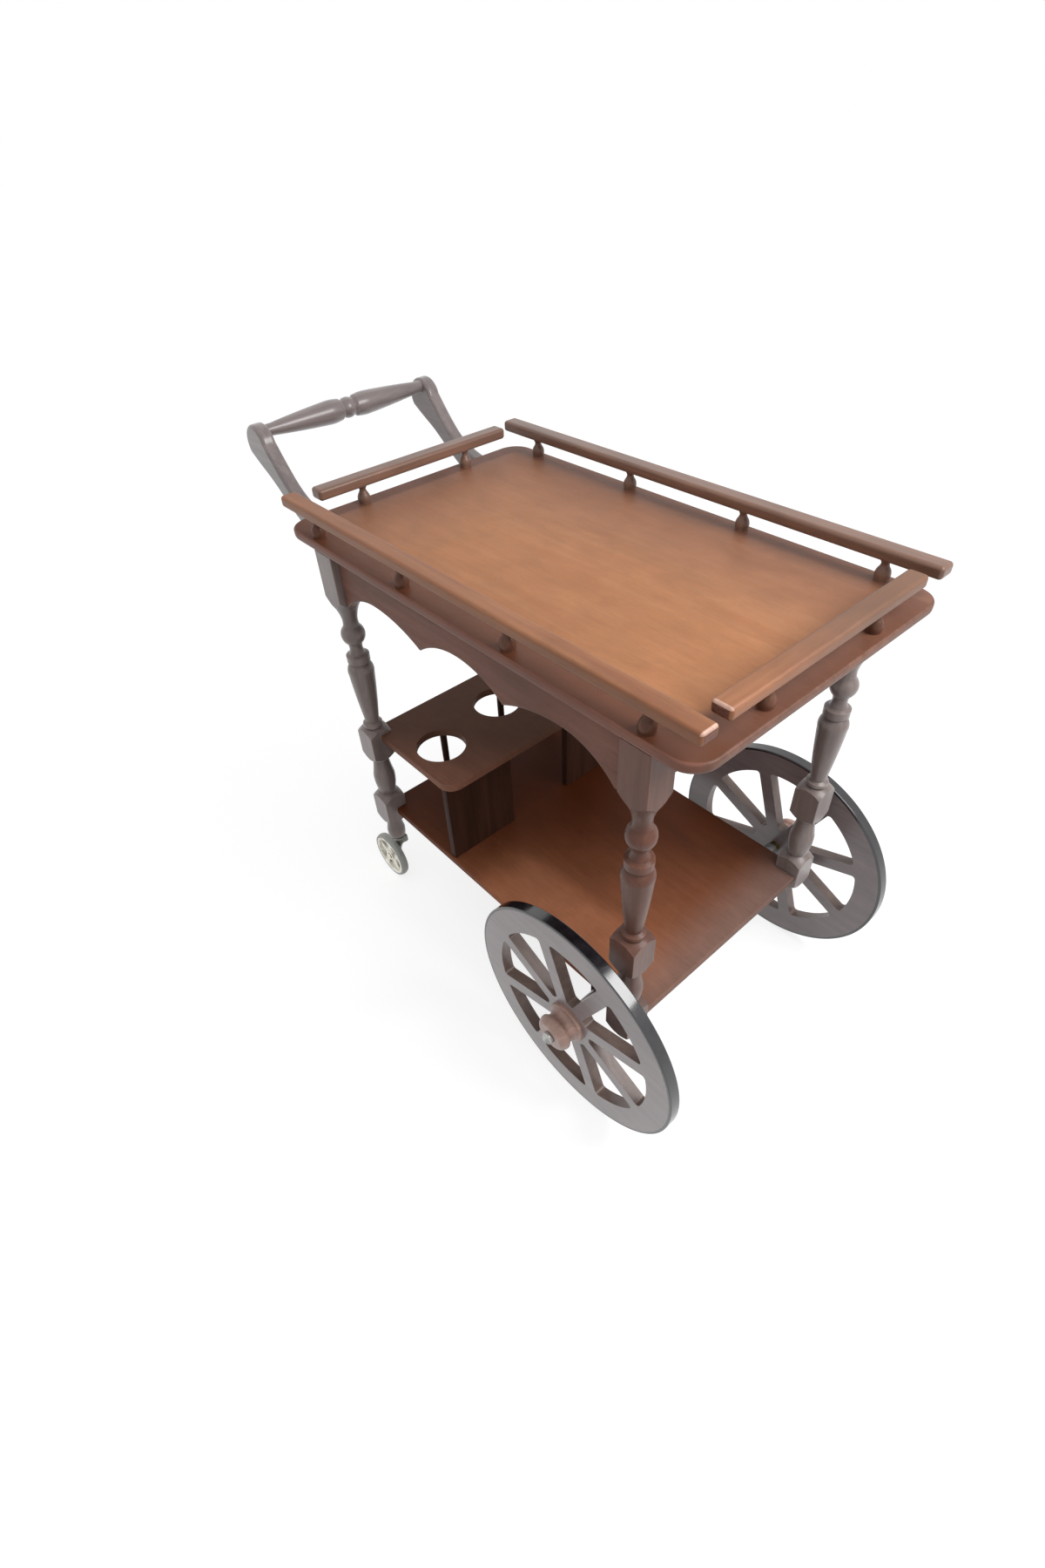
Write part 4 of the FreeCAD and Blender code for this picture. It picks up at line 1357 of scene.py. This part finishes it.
@dataclass
class Shelves:
    """Long lower shelf and the bottle rack that stands on its rear half."""

    board_ease: float = 0.0022
    rack_corner: float = 0.024
    corner_steps: int = 10
    hole_steps: int = 72
    upright_ease: float = 0.0015
    dowel_belly: float = 0.0006
    dowel_end: float = 0.01
    dowel_steps: int = 28

    def long_outline(self, low: Vector, high: Vector) -> list[Flat]:
        """Front half of the lower shelf's outline, cut away round the front legs.

        Args:
            low: Lowest corner of the shelf.
            high: Highest corner.

        Returns:
            Points in X and Y from the right side to the left.
        """
        leg_low, leg_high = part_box("leg_front_right")
        front, inner = leg_low.x, leg_high.y
        return [(front, low.y), (front, inner), (high.x, inner),
                (high.x, -inner), (front, -inner), (front, high.y)]

    def rack_outline(self, low: Vector, high: Vector) -> list[Flat]:
        """Front half of the bottle shelf's outline, with rounded corners.

        Args:
            low: Lowest corner of the shelf.
            high: Highest corner.

        Returns:
            Points in X and Y from the right side to the left.
        """
        radii = (0.0, self.rack_corner, self.rack_corner, 0.0)
        return rounded_rectangle((low.x, low.y), (high.x, high.y), radii, self.corner_steps)[1:-1]

    def board(self, name: str, node: str, front: Callable[[Vector, Vector], list[Flat]],
              finish: WoodFinish) -> Piece:
        """Shelf board sawn to its outline, cut away round the rear legs.

        Args:
            name: Name of the piece.
            node: Shelf of the frame.
            front: Gives the front half of its outline.
            finish: Veneer of its faces and arrises.

        Returns:
            The board.
        """
        low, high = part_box(node)
        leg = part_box("leg_rear_right")[1]
        outline = [(low.x, leg.y), (leg.x, leg.y), (leg.x, low.y)] + front(low, high)
        outline += [(leg.x, high.y), (leg.x, -leg.y), (low.x, -leg.y)]
        shelf = flat_slab(name, outline, low.z, high.z)
        veneer = finish.make(Grain.LENGTHWISE)
        coat(shelf, veneer, veneer)
        return shelf

    def boards(self) -> None:
        """Lower shelf, and bottle shelf with its three holes."""
        lower = self.board("long_shelf", "lower_shelf", self.long_outline, SHELF_VENEER)
        rack = self.board("bottle_rack", "bottle_shelf", self.rack_outline, BOTTLE_VENEER)
        low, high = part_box("bottle_shelf")
        for mount in frame["record"]["mounts"]:
            if mount["name"].startswith("bottle_hole"):
                x, y, _ = mount["pos_m"]
                radius = mount["dims"]["r_mm"] / 1000.0
                drill(rack, Vector((x, y, 0.0)), UP, radius, (low.z, high.z), self.hole_steps)
        for piece, node in ((lower, "lower_shelf"), (rack, "bottle_shelf")):
            ease_all(piece, self.board_ease, angle=SAWN_ANGLE)
            set_in(piece, CARCASS, node)

    def uprights(self) -> None:
        """Boards under the rack's front edge."""
        wood = RACK_WOOD.make(Grain.UPRIGHT)
        for side in Side:
            node = "bottle_support_" + side.value
            board = block("rack_upright_" + side.value, *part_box(node))
            coat(board, wood, wood)
            ease_all(board, self.upright_ease)
            set_in(board, CARCASS, node)

    def dowels(self) -> None:
        """Thin posts under the rack's rear edge, a hair fuller at the middle."""
        low, high, centre, half = measured("shelf_dowel_right")
        radius = half.x
        line = [(0.0, low.z), (radius, low.z)]
        line += three_point_arc((radius, low.z + self.dowel_end), (radius + self.dowel_belly, centre.z),
                                (radius, high.z - self.dowel_end), count=12)
        line += [(radius, high.z), (0.0, high.z)]
        right = turn("rack_dowel_right", line, Vector((centre.x, centre.y, 0.0)), UP, self.dowel_steps)
        coat(right, RACK_WOOD.make(Grain.UPRIGHT))
        set_pair(right, CARCASS, "shelf_dowel_")

    def build(self) -> None:
        """Make both shelves, the uprights and the dowels."""
        self.boards()
        self.uprights()
        self.dowels()


# Handle


@dataclass
class PushHandle:
    """Two arms sawn to an S curve, with a turned grip between their heads."""

    reach: float = 0.155
    rise: float = 0.076
    root_depth: float = 0.035
    head_radius: float = 0.029
    head_back: float = 0.003
    head_drop: float = 0.017
    head_from: float = 15.0
    head_to: float = 215.0
    head_steps: int = 28
    arm_ease: float = 0.0055
    bar_half: float = 0.142
    bar_tenon: float = 0.004
    bar_end: float = 0.009
    bar_swell: float = 0.0175
    bar_bead: float = 0.0155
    bead_fall: float = 0.0008
    bar_groove: float = 0.012
    bar_steps: int = 56

    def arm_outline(self) -> list[Flat]:
        """Outline of an arm in X and Z."""
        board_low, board_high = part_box("top_board")
        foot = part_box("handle_arm_right")[1].x
        rear, under, top = board_low.x, board_low.z, board_high.z
        head = (rear - self.reach - self.head_back, top + self.rise - self.head_drop)

        def at(out: float, up: float) -> Flat:
            """Point given as shares of the reach and the rise."""
            return rear - out * self.reach, top + up * self.rise

        round_head = circle_arc(head, self.head_radius, self.head_from, self.head_to, self.head_steps)
        rising = smooth_line([(rear, under), at(.23, -.09), at(.42, .05), at(.58, .29), at(.71, .57),
                              round_head[0]])
        falling = smooth_line([round_head[-1], at(1.03, .38), at(.84, .16), at(.65, -.12), at(.46, -.39),
                               at(.25, -.59), (rear, under - self.root_depth)])
        return rising + round_head[1:] + falling[1:] + [(foot, under - self.root_depth), (foot, under)]

    def arms(self) -> None:
        """Saw one arm, round its edges and mirror it."""
        low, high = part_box("handle_arm_right")
        right = upright_slab("push_arm_right", self.arm_outline(), low.y, high.y - low.y)
        wood = HANDLE_WOOD.make(Grain.LENGTHWISE)
        coat(right, wood, wood)
        ease_all(right, self.arm_ease, segments=5, angle=SAWN_ANGLE)
        set_pair(right, CARCASS, "handle_arm_")

    def bar(self) -> None:
        """Turned grip: two swelling halves and a bead between two grooves."""
        half, swell, end = self.bar_half, self.bar_swell, self.bar_end
        groove, bead, tip = self.bar_groove, self.bar_bead, -self.bar_half - self.bar_tenon
        shoulder = bead - self.bead_fall
        right = run_line((
            ((0.0, tip), (end, tip)),
            ((end, tip), (end, -.94 * half)),
            ((end, -.94 * half), (.53 * (end + swell), -.58 * half), (swell, -.24 * half)),
            ((swell, -.24 * half), (.98 * swell, -.17 * half), (.9 * swell, -.10 * half)),
            ((.9 * swell, -.10 * half), (groove, -.07 * half)),
            ((groove, -.07 * half), (shoulder, -.035 * half)),
            ((shoulder, -.035 * half), (bead, 0.0))), count=14)
        line = right + [(radius, -along) for radius, along in right[-2::-1]]
        bar = turn("push_bar", line, measured("handle_bar")[2], LEFTWARDS, self.bar_steps)
        coat(bar, HANDLE_WOOD.make(Grain.CROSSWISE))
        set_in(bar, CARCASS, "handle_bar", angle=30.0)

    def build(self) -> None:
        """Make the arms and the grip."""
        self.arms()
        self.bar()


# Cart wheels


@dataclass
class CartWheels:
    """Big wheels fretted from one board each, with a rubber strip, a turned hub and a brass sleeve."""

    spokes: int = 8
    spoke_half: float = 0.0105
    phase: float = 19.0
    rim_width: float = 0.038
    core_radius: float = 0.040
    window_corner: float = 0.005
    rim_corner: float = 0.0055
    arris: float = 0.0022
    rim_steps: int = 160
    wall_slope: float = 0.5
    wall_inset: float = 0.01
    tyre_depth: float = 0.004
    tyre_round: float = 0.0016
    hub_base: float = 0.031
    hub_waist: float = 0.023
    hub_ring: float = 0.004
    flange_swell: float = 0.0006
    ring_swell: float = 0.0008
    nose_swell: float = 0.0012
    hub_steps: int = 64
    bush_radius: float = 0.009
    axle_radius: float = 0.006
    sleeve_gap: float = 0.00008
    sleeve_lip: float = 0.0006

    def window(self, rim: float) -> list[Flat]:
        """Outline of one gap between two spokes, its middle along the first axis.

        Args:
            rim: Inner radius of the rim.

        Returns:
            The points, anticlockwise.
        """
        half_step = 180.0 / self.spokes
        corner, wide, core = self.window_corner, self.rim_corner, self.core_radius
        outer = half_step - math.degrees(math.asin((self.spoke_half + wide) / (rim - wide)))
        inner = half_step - math.degrees(math.asin((self.spoke_half + corner) / (core + corner)))
        side = half_step + 90.0
        parts = [
            circle_arc((0.0, 0.0), rim, -outer, outer, count=14),
            circle_arc(polar(rim - wide, outer), wide, outer, side, count=7),
            circle_arc(polar(core + corner, inner), corner, side, inner + 180.0, count=7),
            circle_arc((0.0, 0.0), core, inner, -inner, count=4),
            circle_arc(polar(core + corner, -inner), corner, 180.0 - inner, 360.0 - side, count=7),
            circle_arc(polar(rim - wide, -outer), wide, -side, -outer, count=7)]
        return [point for part in parts for point in part[:-1]]

    def disc(self) -> Piece:
        """Wheel board with its windows fretted out."""
        low, _, centre, size = measured("wheel_disc_right")
        radius, half = size.x, size.y
        edge = [(self.bush_radius, -half), (radius, -half), (radius, half), (self.bush_radius, half)]
        disc = turn("cart_wheel_right", edge, centre, LEFTWARDS, self.rim_steps, ring=True)
        wood = WHEEL_WOOD.make(Grain.LENGTHWISE)
        coat(disc, wood, wood, SAWN_WALL.make(Grain.LENGTHWISE))
        outline = self.window(radius - self.rim_width)
        for number in range(self.spokes):
            angle = (number + 0.5) * math.tau / self.spokes + math.radians(self.phase)
            saw = slab("fret_saw", swung(outline, centre, low.y - TOOL_PAST, angle),
                       Vector((0.0, 2.0 * (half + TOOL_PAST), 0.0)))
            work(disc, saw, Cut.AWAY)
        ease_all(disc, self.arris, angle=SAWN_ANGLE)
        for face in disc.data.polygons:
            inside = (face.center - centre).length < radius - self.wall_inset
            if face.material_index == 0 and abs(face.normal.y) < self.wall_slope and inside:
                face.material_index = 2
        return disc

    def tyre(self) -> Piece:
        """Rubber strip round the rim, rounded at both edges."""
        _, _, centre, size = measured("wheel_tyre_right")
        outer, half, soft = size.x, size.y, self.tyre_round
        inner = outer - self.tyre_depth
        line = [(inner, -half)] + circle_arc((outer - soft, -half + soft), soft, -90.0, 0.0, count=5)
        line += [(outer, 0.0)] + circle_arc((outer - soft, half - soft), soft, 0.0, 90.0, count=5)
        line += [(inner, half)]
        tyre = turn("cart_tyre_right", line, centre, LEFTWARDS, self.rim_steps, ring=True)
        coat(tyre, TYRE_RUBBER.make())
        return tyre

    def hub(self) -> Piece:
        """Turned hub: a broad flange, a hollow and a rounded nose."""
        low, high, centre, _ = measured("wheel_hub_right")
        length = high.y - low.y
        base, waist = self.hub_base, self.hub_waist
        ring, nose = waist + self.hub_ring, waist - self.hub_ring
        line = [(self.bush_radius, 0.0)] + run_line((
            ((base, 0.0), (base + self.flange_swell, .09 * length), (base, .18 * length)),
            ((base, .18 * length), (waist, .40 * length), (ring, .62 * length)),
            ((ring, .62 * length), (ring + self.ring_swell, .71 * length), (ring, .80 * length)),
            ((ring, .80 * length), (waist + self.nose_swell, .93 * length), (nose, length))))
        line += [(self.bush_radius, length)]
        start = Vector((centre.x, high.y, centre.z))
        hub = turn("cart_hub_right", line, start, RIGHTWARDS, self.hub_steps, ring=True)
        coat(hub, HUB_WOOD.make(Grain.CROSSWISE))
        return hub

    def sleeve(self) -> Piece:
        """Brass sleeve that turns on the axle."""
        low, high, centre, size = measured("wheel_bush_right")
        line = tube_line(self.axle_radius + self.sleeve_gap, size.x, 0.0, high.y - low.y, self.sleeve_lip)
        start = Vector((centre.x, low.y, centre.z))
        sleeve = turn("cart_sleeve_right", line, start, LEFTWARDS, ring=True)
        coat(sleeve, DRAWN_BRASS.make())
        return sleeve

    def build(self) -> None:
        """Make a right wheel and mirror every piece of it."""
        pieces = ((self.disc(), Slot.WHEEL, "wheel_disc_"), (self.tyre(), Slot.TYRE, "wheel_tyre_"),
                  (self.hub(), Slot.TURNED, "wheel_hub_"), (self.sleeve(), Slot.BUSH, "wheel_bush_"))
        for right, slot, node in pieces:
            set_pair(right, "wheel_", node)


@dataclass
class AxleSet:
    """Steel axle in two wooden blocks, with spacing tubes and domed nuts."""

    block_ease: float = 0.003
    rod_chamfer: float = 0.001
    tube_bore: float = 0.0062
    tube_lip: float = 0.0008
    nut_lip: float = 0.0005

    def blocks(self) -> None:
        """Axle blocks under the shelf, bored for the axle."""
        low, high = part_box("axle_bearer_right")
        _, _, axis, size = measured("axle_rod")
        right = block("axle_block_right", low, high)
        wood = RACK_WOOD.make(Grain.CROSSWISE)
        coat(right, wood, wood)
        ease_all(right, self.block_ease)
        drill(right, Vector((axis.x, 0.0, axis.z)), LEFTWARDS, size.x, (low.y, high.y))
        set_pair(right, CARCASS, "axle_bearer_")

    def rod(self) -> None:
        """Round steel bar with chamfered ends."""
        _, _, centre, size = measured("axle_rod")
        rod = turn("axle_bar", tube_line(0.0, size.x, -size.y, size.y, self.rod_chamfer), centre, LEFTWARDS)
        coat(rod, ZINC_STEEL.make())
        set_in(rod, CARCASS, "axle_rod")

    def tubes(self) -> None:
        """Steel spacing tubes between the blocks and the wheels."""
        low, high, centre, size = measured("axle_spacer_right")
        line = tube_line(self.tube_bore, size.x, 0.0, high.y - low.y, self.tube_lip)
        right = turn("axle_tube_right", line, Vector((centre.x, low.y, centre.z)), LEFTWARDS, ring=True)
        coat(right, ZINC_STEEL.make())
        set_pair(right, CARCASS, "axle_spacer_")

    def nuts(self) -> None:
        """Domed nuts on the axle's ends."""
        low, high, centre, size = measured("axle_cap_right")
        length, radius, lip = high.y - low.y, size.x, self.nut_lip
        line = [(0.0, 0.0), (radius - lip, 0.0)] + run_line((
            ((radius, lip), (radius, .40 * length)),
            ((radius, .40 * length), (.80 * radius, .76 * length), (.35 * radius, length))))
        line += [(0.0, length)]
        right = turn("axle_nut_right", line, Vector((centre.x, high.y, centre.z)), RIGHTWARDS)
        coat(right, ZINC_STEEL.make())
        set_pair(right, CARCASS, "axle_cap_")

    def build(self) -> None:
        """Make the blocks, the axle, the tubes and the nuts."""
        self.blocks()
        self.rod()
        self.tubes()
        self.nuts()


# Casters


@dataclass
class SwivelCasters:
    """Brass casters under the rear legs: socket, one-sided fork, pin and spoked wheel."""

    spokes: int = 5
    spoke_half: float = 0.0065
    spoke_waist: float = 0.8
    spoke_flare: float = 1.5
    spoke_root: float = 0.003
    first_spoke: float = 90.0
    rim_width: float = 0.007
    rim_lip: float = 0.0006
    rim_flat: float = 0.6
    hub_radius: float = 0.011
    cast_lip: float = 0.0012
    wheel_steps: int = 80
    tread: float = 0.005
    tread_round: float = 0.0022
    pin_radius: float = 0.004
    pin_lip: float = 0.0005
    pin_steps: int = 36
    head_depth: float = 0.003
    head_lip: float = 0.0006
    head_edge: float = 0.0008
    head_dome: float = 0.0023
    running_gap: float = 0.0001
    crown_radius: float = 0.014
    crown_depth: float = 0.006
    crown_gap: float = 0.0004
    crown_chamfer: float = 0.002
    stem_radius: float = 0.005
    stem_chamfer: float = 0.001
    plate_half: float = 0.011
    plate_depth: float = 0.005
    plate_gap: float = 0.0015
    edge: float = 0.0009
    cup_wall: float = 0.002
    flange_radius: float = 0.013
    flange_depth: float = 0.003
    flange_lip: float = 0.0008

    def socket(self) -> Piece:
        """Flanged cup in the foot."""
        low, high, centre, _ = measured("caster_socket_right")
        inner, tube = self.stem_radius + self.running_gap, self.stem_radius + self.cup_wall
        length, depth = high.z - low.z, self.flange_depth
        line = tube_line(inner, self.flange_radius, 0.0, depth, self.flange_lip)[:-1]
        line += [(tube, depth), (tube, length), (inner, length)]
        cup = turn("caster_cup_right", line, Vector((centre.x, centre.y, low.z)), UP, ring=True)
        coat(cup, DULL_PLATE.make())
        return cup

    def plate_outline(self, axis_x: float, top: float) -> list[Flat]:
        """Outline of the fork's plate, from the pin round and up to the crown.

        Args:
            axis_x: X of the stem.
            top: Height of the crown's top.

        Returns:
            Points in X and Z.
        """
        half, edge = self.plate_half, top - .5 * self.crown_depth
        pin = measured("caster_wheel_right")[2]
        foot = Vector((pin.x, pin.z))
        knee = Vector((axis_x, top - self.crown_depth - half))
        slope = (knee - foot).normalized()
        angle = math.degrees(math.atan2(slope.y, slope.x))
        outline = circle_arc((foot.x, foot.y), half, angle + 90.0, angle + 270.0, count=16)
        outline += smooth_line([outline[-1], (knee.x + .2 * half, knee.y - .9 * half),
                                (knee.x + half, knee.y), (knee.x + half, edge)], steps=6)[1:]
        return outline + [(axis_x - half, edge)]

    def fork(self) -> Piece:
        """Crown and stem with a plate down the inboard side of the wheel."""
        stem_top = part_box("caster_fork_right")[1].z
        axis = measured("leg_rear_right")[2]
        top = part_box("caster_socket_right")[0].z - self.crown_gap
        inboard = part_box("caster_wheel_right")[1].y + self.plate_gap + self.plate_depth
        outline = self.plate_outline(axis.x, top)
        fork = upright_slab("caster_yoke_right", outline, inboard, -self.plate_depth)
        coat(fork, DULL_PLATE.make(), DULL_PLATE.make())
        ease_all(fork, self.edge, segments=2, angle=SAWN_ANGLE)
        crown, stem, base = self.crown_radius, self.stem_radius, top - self.crown_depth
        wide, fine = self.crown_chamfer, self.stem_chamfer
        line = [(0.0, base), (crown - wide, base), (crown, base + wide), (crown, top - fine),
                (crown - fine, top), (stem, top), (stem, stem_top - fine), (stem - fine, stem_top),
                (0.0, stem_top)]
        swivel = turn("crown", line, Vector((axis.x, axis.y, 0.0)), UP)
        coat(swivel, DULL_PLATE.make())
        work(fork, swivel, Cut.TOGETHER)
        return fork

    def wheel(self) -> Piece:
        """Cast wheel: a rim, a hub and spokes that swell towards both."""
        _, _, centre, size = measured("caster_wheel_right")
        radius, half, hub = size.x, size.y, self.hub_radius
        inner = radius - self.rim_width
        reach = inner + .5 * self.rim_width
        metal = CAST_BRASS.make()
        flat = self.rim_flat * half
        rim = [(inner, -flat)] + tube_line(inner + self.cast_lip, radius, -half, half, self.rim_lip)
        rim += [(inner, flat)]
        wheel = turn("caster_spider_right", rim, centre, LEFTWARDS, self.wheel_steps, ring=True)
        coat(wheel, metal, metal)
        boss_line = tube_line(self.pin_radius + self.running_gap, hub, -half, half, self.cast_lip)
        boss = turn("boss", boss_line, centre, LEFTWARDS, ring=True)
        coat(boss, metal)
        narrow, wide = self.spoke_waist * self.spoke_half, self.spoke_flare * self.spoke_half
        root, waist = (hub - self.spoke_root, wide), ((hub + reach) / 2.0, narrow)
        flank = three_point_arc(root, waist, (reach, wide))
        sides = flank + [(u, -w) for u, w in flank[::-1]]
        for number in range(self.spokes):
            angle = math.radians(self.first_spoke + number * 360.0 / self.spokes)
            outline = swung(sides, centre, centre.y - .5 * half, angle)
            spoke = slab("spoke", outline, Vector((0.0, half, 0.0)))
            coat(spoke, metal, metal)
            ease_all(spoke, self.edge, segments=2, angle=SAWN_ANGLE)
            work(wheel, spoke, Cut.TOGETHER)
        work(wheel, boss, Cut.TOGETHER)
        return wheel

    def tyre(self) -> Piece:
        """Pale tread on the caster wheel, rounded across."""
        _, _, centre, size = measured("caster_tyre_right")
        outer, half = size.x, size.y
        inner, shoulder = outer - self.tread, outer - self.tread_round
        line = [(inner, -half)] + three_point_arc((shoulder, -half), (outer, 0.0), (shoulder, half))
        line += [(inner, half)]
        tyre = turn("caster_tread_right", line, centre, LEFTWARDS, self.wheel_steps, ring=True)
        coat(tyre, CASTER_RUBBER.make())
        return tyre

    def pin(self) -> Piece:
        """Headed pin through the wheel."""
        low, high, centre, size = measured("caster_pin_right")
        length, pin, head, lip = high.y - low.y, self.pin_radius, size.x, self.pin_lip
        under = length - self.head_depth
        line = [(0.0, 0.0), (pin - lip, 0.0), (pin, lip), (pin, under), (head - self.head_lip, under),
                (head, under + self.head_edge), (.8 * head, under + self.head_dome), (.4 * head, length),
                (0.0, length)]
        start = Vector((centre.x, high.y, centre.z))
        piece = turn("caster_pivot_right", line, start, RIGHTWARDS, self.pin_steps)
        coat(piece, CAST_BRASS.make())
        return piece

    def build(self) -> None:
        """Make a right caster and mirror every piece of it."""
        pieces = ((self.socket(), CARCASS, Slot.CASTER, "caster_socket_"),
                  (self.fork(), "caster_swivel_", Slot.CASTER, "caster_fork_"),
                  (self.pin(), "caster_swivel_", Slot.CASTER, "caster_pin_"),
                  (self.wheel(), "caster_roller_", Slot.CASTER, "caster_wheel_"),
                  (self.tyre(), "caster_roller_", Slot.TYRE, "caster_tyre_"))
        for right, body, slot, node in pieces:
            set_pair(right, body, node)


# Studio


@dataclass
class Studio:
    """Plain pale floor, soft light and a camera where the picture was taken."""

    floor_size: float = 40.0
    floor_grey: float = 0.38
    floor_lift: float = 0.76
    sky_low: float = 0.15
    sky_high: float = 0.92
    sky_from: float = -0.3
    sky_side: Triple = (0.42, -0.30, 0.857)
    lamp_place: Triple = (1.15, 0.38, 1.60)
    lamp_aim: Triple = (0.05, 0.0, 0.5)
    lamp_power: float = 18.0
    lamp_size: float = 0.8
    eye: Triple = (0.7285, -0.6480, 1.1690)
    eye_right: Triple = (0.6596, 0.7502, -0.0461)
    eye_up: Triple = (-0.4845, 0.4712, 0.7371)
    eye_back: Triple = (0.5747, -0.4639, 0.6742)
    lens: float = 17.886
    sensor: float = 36.0
    clip_start: float = 0.02
    clip_end: float = 60.0

    def seen(self, tree: Tree) -> Socket:
        """Socket that is 1 on rays from the camera, a mirror or glass."""
        path = add_node(tree, "ShaderNodeLightPath").outputs
        total = path["Is Camera Ray"]
        for kind in ("Is Glossy Ray", "Is Transmission Ray"):
            total = add_node(tree, "ShaderNodeMath", {0: total, 1: path[kind]},
                             operation="MAXIMUM").outputs[0]
        return total

    def floor(self) -> None:
        """Pale matt floor that looks white where no shadow falls."""
        put_down()
        bpy.ops.mesh.primitive_plane_add(size=self.floor_size, location=(0.0, 0.0, 0.0))
        floor = named("studio_floor")
        material, tree = new_tree("matt_white_paint")
        paint = add_node(tree, "ShaderNodeBsdfDiffuse", {"Color": grey(self.floor_grey)})
        glow = add_node(tree, "ShaderNodeMath", {0: self.seen(tree), 1: self.floor_lift},
                        operation="MULTIPLY")
        lift = add_node(tree, "ShaderNodeEmission", {"Strength": glow.outputs[0]})
        both = add_node(tree, "ShaderNodeAddShader", {0: paint.outputs[0], 1: lift.outputs[0]})
        add_node(tree, "ShaderNodeOutputMaterial", {"Surface": both.outputs[0]})
        floor.data.materials.append(material)

    def world(self) -> None:
        """Sky that is white to the eye and, as a light, brightest above the viewer."""
        world = bpy.data.worlds.new("studio_sky")
        bpy.context.scene.world = world
        world.use_nodes = True
        tree = world.node_tree
        tree.nodes.clear()
        place = add_node(tree, "ShaderNodeTexCoord").outputs["Generated"]
        facing = add_node(tree, "ShaderNodeVectorMath", {0: place, 1: self.sky_side},
                          operation="DOT_PRODUCT")
        light = add_node(tree, "ShaderNodeMapRange", {
            0: facing.outputs["Value"], 1: self.sky_from, 2: 1.0, 3: self.sky_low, 4: self.sky_high})
        strength = add_node(tree, "ShaderNodeMapRange", {0: self.seen(tree), 3: light.outputs[0], 4: 1.0})
        sky = add_node(tree, "ShaderNodeBackground", {"Color": grey(1.0), "Strength": strength.outputs[0]})
        add_node(tree, "ShaderNodeOutputWorld", {"Surface": sky.outputs[0]})

    def lamp(self) -> None:
        """Soft square lamp aimed at the trolley."""
        put_down()
        bpy.ops.object.light_add(type="AREA", location=self.lamp_place)
        lamp = bpy.context.object
        lamp.name = lamp.data.name = "key_lamp"
        lamp.data.shape, lamp.data.size, lamp.data.energy = "SQUARE", self.lamp_size, self.lamp_power
        aim = Vector(self.lamp_aim) - Vector(self.lamp_place)
        lamp.rotation_euler = aim.to_track_quat("-Z", "Y").to_euler()

    def camera(self) -> None:
        """Camera at the viewing angle of the picture."""
        put_down()
        bpy.ops.object.camera_add(location=self.eye)
        camera = bpy.context.object
        camera.rotation_mode = "QUATERNION"
        axes = Matrix((self.eye_right, self.eye_up, self.eye_back))
        camera.rotation_quaternion = axes.transposed().to_quaternion()
        camera.data.sensor_width, camera.data.lens = self.sensor, self.lens
        camera.data.clip_start, camera.data.clip_end = self.clip_start, self.clip_end
        bpy.context.scene.camera = camera

    def build(self) -> None:
        """Set up the floor, the lights, the camera and the view transform."""
        self.floor()
        self.world()
        self.lamp()
        self.camera()
        bpy.context.scene.view_settings.view_transform = "Standard"
        LOG.info("studio: floor, sky, a lamp and a camera")


def main() -> None:
    """Build the trolley piece by piece, then the studio."""
    logging.basicConfig(level=logging.INFO, format="%(name)s: %(message)s")
    for assembly in (TrayTop(), Gallery(), TurnedLegs(), Frieze(), Shelves(), PushHandle(), CartWheels(),
                     AxleSet(), SwivelCasters(), Studio()):
        assembly.build()
        LOG.info("%s done", type(assembly).__name__)
    put_down()


if __name__ == "__main__":
    main()
